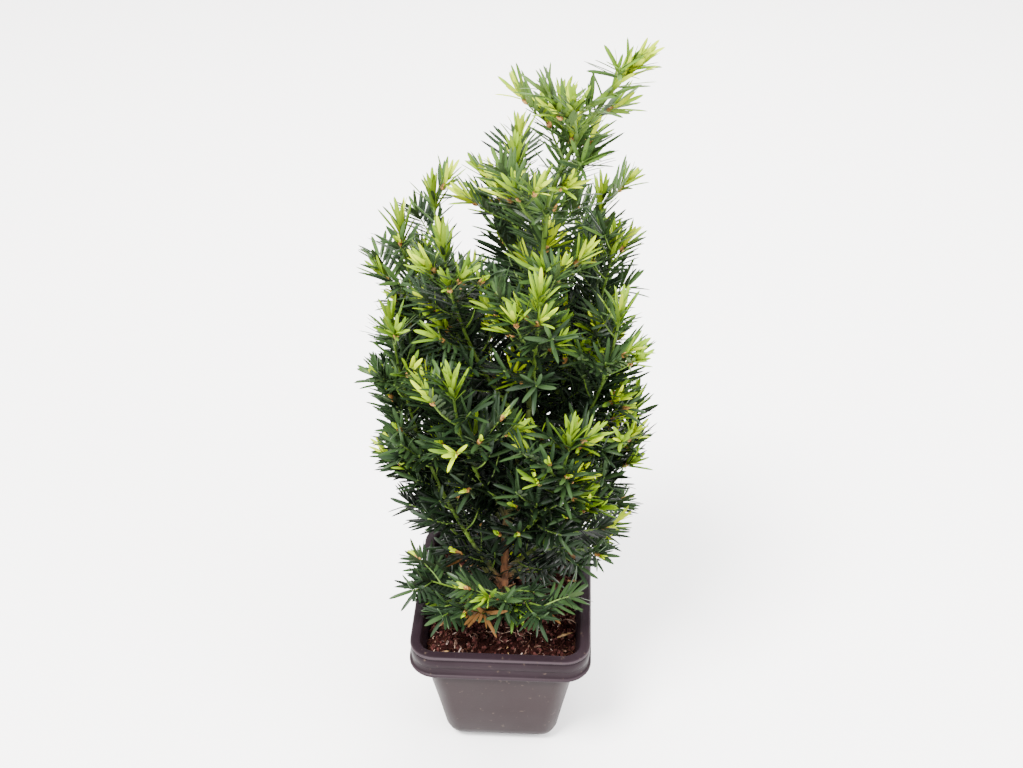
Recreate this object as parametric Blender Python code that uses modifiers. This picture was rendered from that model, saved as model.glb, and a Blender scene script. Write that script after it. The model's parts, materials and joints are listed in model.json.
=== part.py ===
"""A young English yew in a square nursery pot: pot, compost, trunk, boughs and masses of needles.

Metres, +Z up. The origin is the middle of the pot's flat underside, +X runs to the right and
-Y towards the viewer. Every limb is an arc worked out from a few named sizes, and every mass of
foliage grows from the end of its limb by one seeded rule.
"""

import math
import random

import bmesh
import bpy
import numpy as np
from mathutils import Matrix, Vector

# Pot: a tapering cell with rounded corners and a turned-down rim, sized by its inner side
POT_HEIGHT = 0.080
POT_MOUTH = (0.0815, 0.0925)
POT_FOOT = (0.0555, 0.0665)
POT_CORNER = 0.0085
POT_WALL = 0.0011
RIM_STEPS = ((0.0018, 0.0), (0.0040, -0.0004), (0.0049, -0.0016), (0.0051, -0.0060),
             (0.0044, -0.0068), (0.0044, -0.0078), (0.0053, -0.0086), (0.0058, -0.0135))
DRAIN_RADIUS = 0.0035
DRAIN_SIDES = 12
DRAIN_FROM_MIDDLE = (0.0130, 0.0165)

# Compost: fills the pot to just below its rim and rises a little towards the stem, by steps of
# (share of its width, height)
COMPOST_EDGE_HEIGHT = 0.0675
COMPOST_TOP = 0.0700
MOUND_STEPS = ((0.78, 0.0690), (0.50, COMPOST_TOP))
COMPOST_GAP = 0.0006

# Every solid keeps this far from its neighbour
GAP = 0.0003

# Trunk: an arc is (azimuth, rise at its start, rise at its end, length), angles in degrees
TRUNK_ARCS = ((20, 90, 87, 0.055), (-12, 84, 77, 0.060), (-15, 82, 86, 0.046))
TRUNK_RADII = (0.0022, 0.0015)
ROOT_FLARE_RADIUS = 0.0034
ROOT_FLARE_HEIGHT = 0.0100
LEADER_ARCS = ((-20, 86, 88, 0.022), (-60, 88, 80, 0.062), (-28, 72, 50, 0.080))
LEADER_RADII = (0.00140, 0.00075)
LEADER_TWIGS = 6

# Limbs: name, height up the trunk, azimuth, swing of the azimuth, rise at start and end, length,
# bare length before the needles begin, side twigs, and whether it is an erect shoot or a flat spray
LIMBS = (
    ("left_stem", 0.0135, 196, -16, 60, 86, 0.178, 0.036, 4, "erect"),
    ("inner_left_stem", 0.0580, 158, 8, 58, 86, 0.170, 0.026, 4, "erect"),
    ("right_stem", 0.0640, -18, 10, 50, 86, 0.142, 0.022, 3, "erect"),
    ("back_left_stem", 0.0420, 124, 8, 56, 86, 0.188, 0.030, 4, "erect"),
    ("back_right_stem", 0.0500, 46, -6, 56, 86, 0.184, 0.028, 4, "erect"),
    ("back_stem", 0.0290, 84, 6, 60, 88, 0.226, 0.034, 4, "erect"),
    ("front_left_stem", 0.0670, 236, 8, 48, 84, 0.112, 0.020, 3, "erect"),
    ("front_right_stem", 0.0440, 306, 10, 44, 82, 0.112, 0.020, 3, "erect"),
    ("outer_right_stem", 0.0240, 354, 12, 42, 80, 0.130, 0.024, 3, "erect"),
    ("outer_left_stem", 0.0085, 164, -8, 46, 80, 0.136, 0.028, 3, "erect"),
    ("upper_right_shoot", 0.1120, 26, -10, 50, 84, 0.110, 0.016, 2, "erect"),
    ("upper_left_shoot", 0.1200, 204, -8, 54, 86, 0.116, 0.016, 2, "erect"),
    ("upper_back_shoot", 0.1300, 100, 6, 54, 86, 0.122, 0.016, 2, "erect"),
    ("upper_front_shoot", 0.1420, 272, 10, 50, 80, 0.082, 0.014, 1, "erect"),
    ("low_right_spray", 0.0165, 28, -12, 32, 6, 0.058, 0.014, 4, "spray"),
    ("low_left_spray", 0.0060, 224, -12, 34, 8, 0.040, 0.012, 3, "spray"),
    ("low_front_spray", 0.0105, 286, -6, 44, 8, 0.038, 0.010, 2, "spray"),
    ("low_back_spray", 0.0060, 106, 8, 26, 8, 0.058, 0.014, 4, "spray"),
)
BOUGH_RADII = (0.00135, 0.00105)
STEM_RADII = (0.00120, 0.00070)
TWIG_RADII = (0.00085, 0.00060)
PATH_STEP = 0.012
FIRST_SEED = 41
NEEDLE_SEED = 1000

# Side twigs: share of the stem where the first and last stand, their lengths, how far they turn
# from the stem's own azimuth, and the angle at which they rise and then steepen
TWIG_SHARES = (0.12, 0.80)
TWIG_SHARE_JITTER = 0.03
TWIG_LENGTH = 0.036
TWIG_SHORTENING = 0.55
TWIG_LENGTH_RANGE = (0.85, 1.15)
ERECT_TURN = (30, 75)
ERECT_RISE = (34, 46)
ERECT_STEEPENING = 26
SPRAY_TURN = (42, 52)
SPRAY_RISE_JITTER = (-4, 6)
SPRAY_STEEPENING = 6
TWIG_SWING = 10

# Needles: larger than life, because the solid carries about a third of them
NEEDLE_LENGTH = 0.0235
NEEDLE_WIDTH = 0.0034
NEEDLE_THICKNESS = 0.0008
NEEDLE_WIDEST_AT = 0.30
NEEDLE_SINK = 0.0003
NEEDLE_SPACING = 0.0072
NEEDLE_LENGTH_RANGE = (0.85, 1.10)
NEEDLE_SHORTENING = 0.25
NEEDLE_ANGLE = 58
LEAN_JITTER = 8
TURN_JITTER = 14
GOLDEN_ANGLE = 137.5
SPRAY_LIFT = 18
STEM_START = 0.002
TWIG_START = 0.006

# Tuft: the short needles that close every tip
TUFT_NEEDLES = 4
TUFT_ANGLE = 27
TUFT_LENGTH = 0.016
TUFT_LENGTH_RANGE = (0.85, 1.15)
TUFT_WIDTH = 0.0028
TUFT_BACK = 0.0014

# Space: a needle stays nearer to its own stem than to any other, and clear of the limbs
SPACE_MARGIN = 0.0010
LIMB_MARGIN = 0.0009
SAMPLE_STEP = 0.003
NEEDLE_SAMPLES = (0.25, 0.5, 0.75, 1.0)

COLOURS = {
    "pot": ((0.060, 0.056, 0.062), 0.45),
    "compost": ((0.075, 0.032, 0.018), 0.95),
    "bark": ((0.200, 0.105, 0.045), 0.85),
    "foliage": ((0.035, 0.120, 0.030), 0.45),
}


def clear_scene():
    for obj in list(bpy.data.objects):
        bpy.data.objects.remove(obj, do_unlink=True)


def collection_named(name):
    group = bpy.data.collections.new(name)
    bpy.context.scene.collection.children.link(group)
    return group


def material_named(name):
    colour, roughness = COLOURS[name]
    material = bpy.data.materials.new(name)
    material.use_nodes = True
    shader = material.node_tree.nodes["Principled BSDF"]
    shader.inputs["Base Color"].default_value = (*colour, 1)
    shader.inputs["Roughness"].default_value = roughness
    shader.inputs["Metallic"].default_value = 0
    return material


def object_of(mesh, name, group, material=None):
    obj = bpy.data.objects.new(name, mesh)
    group.objects.link(obj)
    if material:
        mesh.materials.append(material)
    return obj


def mesh_of(bm, name):
    mesh = bpy.data.meshes.new(name)
    bm.to_mesh(mesh)
    bm.free()
    return mesh


def make_cutter(obj):
    obj.hide_render = True
    obj.display_type = "WIRE"


# Paths


def direction(azimuth, rise):
    """The unit vector at these angles, in degrees."""
    a = math.radians(azimuth)
    e = math.radians(rise)
    return Vector((math.cos(a) * math.cos(e), math.sin(a) * math.cos(e), math.sin(e)))


def arc_path(start, azimuth, swing, rise, end_rise, length):
    """Points along an arc whose heading turns evenly from its first angles to its last."""
    steps = max(2, round(length / PATH_STEP))
    points = [Vector(start)]
    for k in range(steps):
        share = (k + 0.5) / steps
        heading = direction(azimuth + swing * share, rise + (end_rise - rise) * share)
        points.append(points[-1] + heading * (length / steps))
    return points


def joined_arcs(start, arcs):
    points = [Vector(start)]
    for azimuth, rise, end_rise, length in arcs:
        points += arc_path(points[-1], azimuth, 0, rise, end_rise, length)[1:]
    return points


def lengths_along(points):
    """How far along the path each of its points lies."""
    run = [0.0]
    for a, b in zip(points, points[1:]):
        run.append(run[-1] + (b - a).length)
    return run


def point_at(points, distance):
    """The point this far along the path, and the path's heading there."""
    run = lengths_along(points)
    for k, (a, b) in enumerate(zip(points, points[1:])):
        if distance <= run[k + 1] or k == len(points) - 2:
            share = (distance - run[k]) / (run[k + 1] - run[k])
            return a.lerp(b, share), (b - a).normalized()


def cut_path(points, start, end):
    """The stretch of the path between two distances along it."""
    run = lengths_along(points)
    inner = [p for p, at in zip(points, run) if start + GAP < at < end - GAP]
    return [point_at(points, start)[0], *inner, point_at(points, end)[0]]


def samples_of(points):
    """Points every few millimetres along the path, as an array."""
    total = lengths_along(points)[-1]
    count = max(2, round(total / SAMPLE_STEP))
    return np.array([point_at(points, total * k / count)[0] for k in range(count + 1)])


def nearest(samples, p):
    return float(np.sqrt(((samples - np.array(p)) ** 2).sum(axis=1).min()))


# Solids along a path


def tube(name, points, radii, group, sides=8):
    """A tapering closed tube as a mesh object, from a curve with a bevel and filled caps."""
    curve = bpy.data.curves.new(name, "CURVE")
    curve.dimensions = "3D"
    curve.use_fill_caps = True
    spline = curve.splines.new("POLY")
    spline.points.add(len(points) - 1)
    for k, point in enumerate(points):
        spline.points[k].co = (*point, 1)
        spline.points[k].radius = radii[k]
    profile = None
    if sides == 3:
        profile = triangle_profile(group)
        curve.bevel_mode = "OBJECT"
        curve.bevel_object = profile
    else:
        curve.bevel_depth = 1.0
        curve.bevel_resolution = (sides - 4) // 2
    draft = bpy.data.objects.new(name + "_curve", curve)
    group.objects.link(draft)
    graph = bpy.context.evaluated_depsgraph_get()
    mesh = bpy.data.meshes.new_from_object(draft.evaluated_get(graph))
    bm = bmesh.new()
    bm.from_mesh(mesh)
    bmesh.ops.remove_doubles(bm, verts=bm.verts, dist=1e-6)
    bmesh.ops.recalc_face_normals(bm, faces=bm.faces)
    bm.to_mesh(mesh)
    bm.free()
    mesh.materials.clear()
    solid = bpy.data.objects.new(name, mesh)
    group.objects.link(solid)
    solid.matrix_world = draft.matrix_world
    for helper in filter(None, (draft, profile)):
        bpy.data.objects.remove(helper, do_unlink=True)
    return solid


def triangle_profile(group):
    """A closed triangle of unit radius, the section of a three-sided twig."""
    curve = bpy.data.curves.new("twig_section", "CURVE")
    curve.dimensions = "2D"
    spline = curve.splines.new("POLY")
    spline.points.add(2)
    for k in range(3):
        angle = math.radians(120 * k + 90)
        spline.points[k].co = (math.cos(angle), math.sin(angle), 0, 1)
    spline.use_cyclic_u = True
    profile = bpy.data.objects.new("twig_section", curve)
    group.objects.link(profile)
    return profile


def tapered(points, radii):
    """A radius for each point, from the first of two radii to the second."""
    run = lengths_along(points)
    return [radii[0] + (radii[1] - radii[0]) * at / run[-1] for at in run]


# Pot and compost


def pot_half(height):
    """Half the pot's inner width along X and along Y at a height."""
    share = (height - POT_WALL) / (POT_HEIGHT - POT_WALL)
    return [0.5 * (f + (m - f) * share) for f, m in zip(POT_FOOT, POT_MOUTH)]


def tapered_block(foot, top, foot_half, top_half, corner):
    """A box that widens upwards, its upright and lower edges rounded and its top left open."""
    bm = bmesh.new()
    bmesh.ops.create_cube(bm, size=2)
    for vert in bm.verts:
        half = top_half if vert.co.z > 0 else foot_half
        vert.co = (vert.co.x * half[0], vert.co.y * half[1], top if vert.co.z > 0 else foot)
    lid = max(bm.faces, key=lambda face: face.calc_center_median().z)
    kept = [edge for edge in bm.edges if edge not in lid.edges[:]]
    bmesh.ops.bevel(bm, geom=kept, offset=corner, segments=3, profile=0.5, affect="EDGES")
    lid = max(bm.faces, key=lambda face: face.calc_center_median().z)
    bmesh.ops.delete(bm, geom=[lid], context="FACES_ONLY")
    return bm


def outward(point, half):
    """The way out of a rounded rectangle from a point on its edge, level."""
    core = [h - POT_CORNER for h in half]
    away = Vector([p - max(-c, min(c, p)) for p, c in zip(point, core)])
    return away.normalized()


def turn_rim(bm):
    """Carries the mouth's edge out and down through the rim's steps."""
    mouth = pot_half(POT_HEIGHT)
    edges = [edge for edge in bm.edges if edge.is_boundary]
    was = (0.0, 0.0)
    for step in RIM_STEPS:
        made = bmesh.ops.extrude_edge_only(bm, edges=edges)["geom"]
        edges = [item for item in made if isinstance(item, bmesh.types.BMEdge)]
        for vert in {vert for edge in edges for vert in edge.verts}:
            way = outward((vert.co.x, vert.co.y), [h + was[0] for h in mouth])
            vert.co.x += way.x * (step[0] - was[0])
            vert.co.y += way.y * (step[0] - was[0])
            vert.co.z += step[1] - was[1]
        was = step


def make_pot(group, cutters):
    foot_half = pot_half(POT_WALL)
    bm = tapered_block(POT_WALL, POT_HEIGHT, foot_half, pot_half(POT_HEIGHT), POT_CORNER)
    turn_rim(bm)
    bmesh.ops.recalc_face_normals(bm, faces=bm.faces)
    pot = object_of(mesh_of(bm, "pot"), "pot", group, material_named("pot"))
    wall = pot.modifiers.new("wall", "SOLIDIFY")
    wall.thickness = POT_WALL
    wall.offset = -1
    wall.use_even_offset = True
    for k, (sx, sy) in enumerate(((1, 1), (-1, 1), (-1, -1), (1, -1))):
        hole = bmesh.new()
        bmesh.ops.create_cone(hole, cap_ends=True, segments=DRAIN_SIDES, radius1=DRAIN_RADIUS,
                              radius2=DRAIN_RADIUS, depth=POT_HEIGHT / 4)
        cutter = object_of(mesh_of(hole, "drain"), f"drain_cutter_{k}", cutters)
        cutter.location = (sx * DRAIN_FROM_MIDDLE[0], sy * DRAIN_FROM_MIDDLE[1], 0)
        make_cutter(cutter)
        drain = pot.modifiers.new(f"drain_{k}", "BOOLEAN")
        drain.operation = "DIFFERENCE"
        drain.object = cutter
    pot.data.shade_smooth()
    pot.data.set_sharp_from_angle(angle=math.radians(40))
    return pot


def make_compost(group):
    """The root ball: the pot's inside less the gap all round, with a low mound on top."""
    foot = POT_WALL + COMPOST_GAP
    foot_half = [h - COMPOST_GAP for h in pot_half(foot)]
    top_half = [h - COMPOST_GAP for h in pot_half(COMPOST_EDGE_HEIGHT)]
    corner = POT_CORNER - COMPOST_GAP
    bm = tapered_block(foot, COMPOST_EDGE_HEIGHT, foot_half, top_half, corner)
    edges = [edge for edge in bm.edges if edge.is_boundary]
    was = 1.0
    for share, height in MOUND_STEPS:
        made = bmesh.ops.extrude_edge_only(bm, edges=edges)["geom"]
        edges = [item for item in made if isinstance(item, bmesh.types.BMEdge)]
        for vert in {vert for edge in edges for vert in edge.verts}:
            vert.co = (vert.co.x * share / was, vert.co.y * share / was, height)
        was = share
    bmesh.ops.edgeloop_fill(bm, edges=edges)
    bmesh.ops.recalc_face_normals(bm, faces=bm.faces)
    return object_of(mesh_of(bm, "compost"), "compost", group, material_named("compost"))


# Trunk and boughs


def trunk_radius(at, total):
    """The trunk's radius at a distance along it, with the flare at its foot."""
    plain = TRUNK_RADII[0] + (TRUNK_RADII[1] - TRUNK_RADII[0]) * at / total
    flare = max(0.0, 1 - at / ROOT_FLARE_HEIGHT)
    return plain + (ROOT_FLARE_RADIUS - TRUNK_RADII[0]) * flare**2


def trunk_path():
    """The trunk's points, with extra ones where its foot flares."""
    foot = Vector((0, 0, COMPOST_TOP + GAP))
    points = joined_arcs(foot, TRUNK_ARCS)
    total = lengths_along(points)[-1]
    flare = [point_at(points, ROOT_FLARE_HEIGHT * share)[0] for share in (0.25, 0.55)]
    return [points[0], *flare, *points[1:]], total


def limb_paths(trunk):
    """Each limb's whole path, from the trunk's axis to its tip."""
    paths = {}
    for name, height, azimuth, swing, rise, end_rise, length, *_ in LIMBS:
        start = point_at(trunk, height)[0]
        paths[name] = arc_path(start, azimuth, swing, rise, end_rise, length)
    return paths


def make_trunk(points, total, group, bark):
    run = lengths_along(points)
    trunk = tube("trunk", points, [trunk_radius(at, total) for at in run], group)
    trunk.data.materials.append(bark)
    return trunk


def make_boughs(paths, trunk_points, total, group, cutters, bark):
    """One tapering limb for each stem, its foot cut to fit the trunk."""
    run = lengths_along(trunk_points)
    wider = [trunk_radius(at, total) + GAP for at in run]
    around = tube("trunk_clearance", trunk_points, wider, cutters)
    make_cutter(around)
    for name, *_, bare, _, _ in LIMBS:
        points = cut_path(paths[name], 0, bare)
        bough = tube(name + "_bough", points, tapered(points, BOUGH_RADII), group)
        bough.data.materials.append(bark)
        fit = bough.modifiers.new("fit_to_trunk", "BOOLEAN")
        fit.operation = "DIFFERENCE"
        fit.object = around


# Foliage


class Space:
    """What lies near a mass: its own stem, the other stems and the limbs."""

    def __init__(self, stems, limbs):
        self.stems = {name: samples_of(path) for name, path in stems.items()}
        self.limbs = [(samples_of(path), radius) for path, radius in limbs]

    def holds(self, name, line, half_width):
        """Whether every point of the line lies in the mass's own space and clear of the limbs."""
        for p in line:
            own = nearest(self.stems[name], p)
            for other, samples in self.stems.items():
                if other != name and nearest(samples, p) < own + SPACE_MARGIN:
                    return False
            for samples, radius in self.limbs:
                if nearest(samples, p) < radius + half_width + LIMB_MARGIN:
                    return False
            if p.z < COMPOST_TOP + half_width + LIMB_MARGIN:
                return False
        return True


def across(heading, angle, kind):
    """A unit vector square to the heading: round it for an erect shoot, to a side for a spray."""
    up = Vector((0, 0, 1)) if abs(heading.z) < 0.98 else Vector((1, 0, 0))
    raised = (up - heading * up.dot(heading)).normalized()
    side = heading.cross(raised)
    if kind == "spray":
        way = 1 if angle < 180 else -1
        lift = math.radians(SPRAY_LIFT)
        return side * way * math.cos(lift) + raised * math.sin(lift)
    a = math.radians(angle)
    return side * math.cos(a) + raised * math.sin(a)


def twig_plans(path, azimuth, count, kind, rng):
    """The paths of a stem's side twigs, by turns on its two sides or, on the leader, all round."""
    total = lengths_along(path)[-1]
    plans = []
    for k in range(count):
        share = TWIG_SHARES[0] + (TWIG_SHARES[1] - TWIG_SHARES[0]) * (k + 0.5) / count
        share += rng.uniform(-TWIG_SHARE_JITTER, TWIG_SHARE_JITTER)
        length = TWIG_LENGTH * (1 - TWIG_SHORTENING * share) * rng.uniform(*TWIG_LENGTH_RANGE)
        start, heading = point_at(path, total * share)
        side = 1 if k % 2 else -1
        if kind == "spray":
            turn = side * rng.uniform(*SPRAY_TURN)
            rise = math.degrees(math.asin(heading.z)) + rng.uniform(*SPRAY_RISE_JITTER)
            steepening = SPRAY_STEEPENING
        else:
            turn = side * rng.uniform(*ERECT_TURN)
            rise = rng.uniform(*ERECT_RISE)
            steepening = ERECT_STEEPENING
        if kind == "leader":
            turn = GOLDEN_ANGLE * k
        swing = -side * TWIG_SWING
        plans.append(arc_path(start, azimuth + turn, swing, rise, rise + steepening, length))
    return plans


def needle_lines(path, kind, bare, rng):
    """Where needles stand on a twig: (root, direction, upper side, length, width) for each."""
    total = lengths_along(path)[-1]
    lines = []
    count = int((total - bare) / NEEDLE_SPACING)
    for k in range(count):
        root, heading = point_at(path, bare + NEEDLE_SPACING * (k + 0.5))
        if kind == "spray":
            angle = 90 + 180 * (k % 2)
        else:
            angle = GOLDEN_ANGLE * k + rng.uniform(-TURN_JITTER, TURN_JITTER)
        lean = math.radians(NEEDLE_ANGLE + rng.uniform(-LEAN_JITTER, LEAN_JITTER))
        way = heading * math.cos(lean) + across(heading, angle, kind) * math.sin(lean)
        shorter = 1 - NEEDLE_SHORTENING * (k / count) ** 2
        length = NEEDLE_LENGTH * rng.uniform(*NEEDLE_LENGTH_RANGE) * shorter
        lines.append((root, way, heading, length, NEEDLE_WIDTH))
    return lines + tuft_lines(path, rng)


def tuft_lines(path, rng):
    """The needles that close the tip of a twig, in the same terms."""
    heading = (path[-1] - path[-2]).normalized()
    root = path[-1] - heading * TUFT_BACK
    first = rng.uniform(0, 360)
    lines = []
    for k in range(TUFT_NEEDLES):
        lean = math.radians(TUFT_ANGLE + rng.uniform(-LEAN_JITTER, LEAN_JITTER))
        out = across(heading, first + 360 * k / TUFT_NEEDLES, "tuft")
        way = heading * math.cos(lean) + out * math.sin(lean)
        length = TUFT_LENGTH * rng.uniform(*TUFT_LENGTH_RANGE)
        lines.append((root, way, heading, length, TUFT_WIDTH))
    return lines


def unit_needle():
    """An eight-faced needle along +X, from 0 to 1, of unit width and thickness."""
    bm = bmesh.new()
    bmesh.ops.create_uvsphere(bm, u_segments=4, v_segments=2, radius=0.5)
    bmesh.ops.rotate(bm, verts=bm.verts, cent=(0, 0, 0), matrix=Matrix.Rotation(math.pi / 2, 3, "Y"))
    for vert in bm.verts:
        vert.co.x += 0.5 if abs(vert.co.x) > 0.4 else NEEDLE_WIDEST_AT
    bmesh.ops.recalc_face_normals(bm, faces=bm.faces)
    return mesh_of(bm, "needle")


def place_needle(mesh, line, group):
    """A needle whose root is sunk in its twig and whose flat upper side faces the twig's tip."""
    root, way, upper, length, width = line
    flat = (upper - way * upper.dot(way)).normalized()
    side = flat.cross(way)
    frame = Matrix((way, side, flat)).transposed().to_4x4()
    needle = bpy.data.objects.new("needle", mesh)
    group.objects.link(needle)
    size = Matrix.Diagonal((length + NEEDLE_SINK, width, NEEDLE_THICKNESS, 1))
    needle.matrix_world = Matrix.Translation(root - way * NEEDLE_SINK) @ frame @ size


def points_on(line):
    """Points down a needle's middle and along its edges, to test against the space round it."""
    root, way, upper, length, width = line
    side = (upper - way * upper.dot(way)).normalized().cross(way)
    middle = [root + way * length * share for share in NEEDLE_SAMPLES]
    widest = root + way * length * NEEDLE_WIDEST_AT
    return [*middle, widest + side * width / 2, widest - side * width / 2]


def largest_body(mesh):
    """Drops loose scraps, so that the mass is one body."""
    bm = bmesh.new()
    bm.from_mesh(mesh)
    bm.verts.ensure_lookup_table()
    seen = set()
    bodies = []
    for vert in bm.verts:
        if vert.index in seen:
            continue
        body, todo = [], [vert]
        seen.add(vert.index)
        while todo:
            here = todo.pop()
            body.append(here)
            for edge in here.link_edges:
                other = edge.other_vert(here)
                if other.index not in seen:
                    seen.add(other.index)
                    todo.append(other)
        bodies.append(body)
    bodies.sort(key=len)
    scraps = [vert for body in bodies[:-1] for vert in body]
    bmesh.ops.delete(bm, geom=scraps, context="VERTS")
    bm.to_mesh(mesh)
    bm.free()


def make_mass(name, path, radii, azimuth, twig_count, kind, space, seed, group, foliage, needle):
    """One mass of foliage: its stem, the twigs that fit its space, and the needles on them."""
    rng = random.Random(seed + NEEDLE_SEED)
    stem = tube(name + "_foliage", path, tapered(path, radii), group, sides=3)
    parts = collection_named(name + "_parts")
    lines = needle_lines(path, kind, STEM_START, rng)
    for twig in twig_plans(path, azimuth, twig_count, kind, random.Random(seed)):
        if space.holds(name, twig[1:], TWIG_RADII[0]):
            tube("twig", twig, tapered(twig, TWIG_RADII), parts, sides=3)
            lines += needle_lines(twig, kind, TWIG_START, rng)
    for line in lines:
        if space.holds(name, points_on(line), 0):
            place_needle(needle, line, parts)
    join = stem.modifiers.new("join", "BOOLEAN")
    join.operation = "UNION"
    join.operand_type = "COLLECTION"
    join.collection = parts
    join.solver = "MANIFOLD"
    graph = bpy.context.evaluated_depsgraph_get()
    joined = bpy.data.meshes.new_from_object(stem.evaluated_get(graph))
    stem.modifiers.clear()
    largest_body(joined)
    joined.materials.clear()
    joined.materials.append(foliage)
    stem.data = joined
    for obj in list(parts.objects):
        bpy.data.objects.remove(obj, do_unlink=True)
    bpy.data.collections.remove(parts)
    return stem


def make_foliage(paths, trunk_points, group):
    """A mass on the end of every bough, and the leader on the end of the trunk."""
    leader = joined_arcs(trunk_points[-1], LEADER_ARCS)
    stems = {"leader": cut_path(leader, GAP, lengths_along(leader)[-1])}
    limbs = [(trunk_points, ROOT_FLARE_RADIUS)]
    plans = [("leader", LEADER_RADII, LEADER_ARCS[1][0], LEADER_TWIGS, "leader")]
    for name, _, azimuth, _, _, _, length, bare, twigs, kind in LIMBS:
        stems[name] = cut_path(paths[name], bare + GAP, length)
        limbs.append((cut_path(paths[name], 0, bare - LIMB_MARGIN), BOUGH_RADII[0]))
        plans.append((name, STEM_RADII, azimuth, twigs, kind))
    space = Space(stems, limbs)
    foliage = material_named("foliage")
    needle = unit_needle()
    for k, (name, radii, azimuth, twigs, kind) in enumerate(plans):
        make_mass(name, stems[name], radii, azimuth, twigs, kind, space, FIRST_SEED + k, group,
                  foliage, needle)


def main():
    clear_scene()
    yew = collection_named("potted_yew")
    cutters = collection_named("cutters")
    make_pot(yew, cutters)
    make_compost(yew)
    bark = material_named("bark")
    trunk_points, total = trunk_path()
    paths = limb_paths(trunk_points)
    make_trunk(trunk_points, total, yew, bark)
    make_boughs(paths, trunk_points, total, yew, cutters, bark)
    make_foliage(paths, trunk_points, yew)


main()
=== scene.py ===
"""The finish of a young English yew in its nursery pot.

The limbs and twigs grow by the same named arcs and seeded rule as the solids, and carry on to
finer twigs, every needle, the buds and the bark. Metres, +Z up, the origin under the pot.
"""

import json
import math
import random
from collections import namedtuple

import bmesh
import bpy
import numpy as np
from mathutils import Matrix, Vector, kdtree, noise

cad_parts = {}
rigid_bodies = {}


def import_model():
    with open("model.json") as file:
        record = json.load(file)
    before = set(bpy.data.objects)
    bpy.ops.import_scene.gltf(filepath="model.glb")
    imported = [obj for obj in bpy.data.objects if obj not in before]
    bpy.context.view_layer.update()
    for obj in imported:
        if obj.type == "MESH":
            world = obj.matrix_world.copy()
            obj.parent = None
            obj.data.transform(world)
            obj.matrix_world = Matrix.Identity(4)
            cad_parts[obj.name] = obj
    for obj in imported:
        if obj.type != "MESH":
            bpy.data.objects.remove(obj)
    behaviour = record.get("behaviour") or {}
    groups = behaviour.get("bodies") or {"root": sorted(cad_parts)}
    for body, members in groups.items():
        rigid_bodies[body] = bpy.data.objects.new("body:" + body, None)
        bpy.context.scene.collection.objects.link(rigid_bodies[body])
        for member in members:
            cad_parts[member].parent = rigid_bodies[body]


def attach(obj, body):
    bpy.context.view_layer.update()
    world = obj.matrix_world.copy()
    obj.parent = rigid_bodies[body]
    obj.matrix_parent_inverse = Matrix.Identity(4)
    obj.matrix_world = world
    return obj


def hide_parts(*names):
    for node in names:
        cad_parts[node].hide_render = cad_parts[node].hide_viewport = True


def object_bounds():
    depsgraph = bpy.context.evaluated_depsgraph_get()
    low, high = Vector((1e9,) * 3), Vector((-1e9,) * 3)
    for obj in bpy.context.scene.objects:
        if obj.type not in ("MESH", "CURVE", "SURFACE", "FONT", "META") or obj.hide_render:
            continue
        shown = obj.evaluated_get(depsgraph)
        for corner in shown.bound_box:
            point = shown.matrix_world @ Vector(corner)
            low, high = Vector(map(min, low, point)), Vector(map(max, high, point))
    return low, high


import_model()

CAD_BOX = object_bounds()

# Pot and compost, as the solids have them
POT_HEIGHT = 0.080
POT_MOUTH = (0.0815, 0.0925)
POT_FOOT = (0.0555, 0.0665)
POT_CORNER = 0.0085
POT_WALL = 0.0011
DRAIN_RADIUS = 0.0035
DRAIN_FROM_MIDDLE = (0.0130, 0.0165)
COMPOST_TOP = 0.0700
COMPOST_GAP = 0.0006
GAP = 0.0003

# The pot's wall above its rounded foot, as shares of its height
FOOT_STEPS = 5
FOOT_CORNER = (0.7, 0.002)
WALL_SHARES = (0.35, 0.60, 0.655, 0.71, 0.92)
CORNERS = ((1, 1), (-1, 1), (-1, -1), (1, -1))
SHARP_ANGLE = 38

# The rim from its inner edge: lip, groove, plain band, lower ridge and back up underneath, each
# point's distance out from the mouth and up from the top
RIM = (
    (-0.0002, -0.0014), (0.0000, -0.0006), (0.0005, -0.0001), (0.0012, 0.0), (0.0040, 0.0),
    (0.0047, -0.0001), (0.0051, -0.0004), (0.0053, -0.0009), (0.0053, -0.0013), (0.0051, -0.0017),
    (0.0047, -0.0020), (0.0046, -0.0024), (0.0048, -0.0028), (0.0050, -0.0031), (0.0051, -0.0068),
    (0.0050, -0.0072), (0.0047, -0.0076), (0.0046, -0.0080), (0.0047, -0.0112), (0.0050, -0.0117),
    (0.0057, -0.0119), (0.0060, -0.0123), (0.0060, -0.0132), (0.0058, -0.0136), (0.0048, -0.0136),
    (0.0042, -0.0130), (0.0037, -0.0080), (0.0035, -0.0018), (0.0026, -0.0013),
)
RIM_ROOT = 0.004

# Where the plastic has painted shade, painted highlights and painted shadow. A highlit edge is
# its least distance out from the mouth, its least and most drop from the top, and its brightness
SHADED_FROM = 0.0610
# Painted highlights along the lip's outer edge and the lower ridge
HIGHLIT_EDGES = ((0.0049, 0.0003, 0.0012, 1.0), (0.0054, 0.0118, 0.0126, 0.45))
# Painted shadow under the rim, and painted shade darkening the wall towards its foot
RIM_SHADOW_FROM = 0.0560
FOOT_SHADE_FROM = 0.0450
SHADOW_UNDER_RIM = 0.7
SHADE_AT_FOOT = 0.42

# The compost's bed: the heights of its side, then rings that close over its lumpy top. A lump
# layer is its frequency, its offset in the noise, and its height
BED_HEIGHTS = (0.0017, 0.004, 0.010, 0.030, 0.055, 0.0625)
BED_RINGS = 34
BED_EDGE = (0.0655, 0.0660)
BED_STREWN_FROM = 0.0645
BED_CORNER_STEPS = 12
BED_FOOT_INSET = 0.6
BED_LEAST_CORNER = 0.001
BED_EDGE_LUMPS = 0.25
BED_LUMPS_GROW = 9
LUMPS = ((45, 3.1, 0.0018), (230, 7.7, 0.0012), (700, 1.3, 0.0004))

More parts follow.
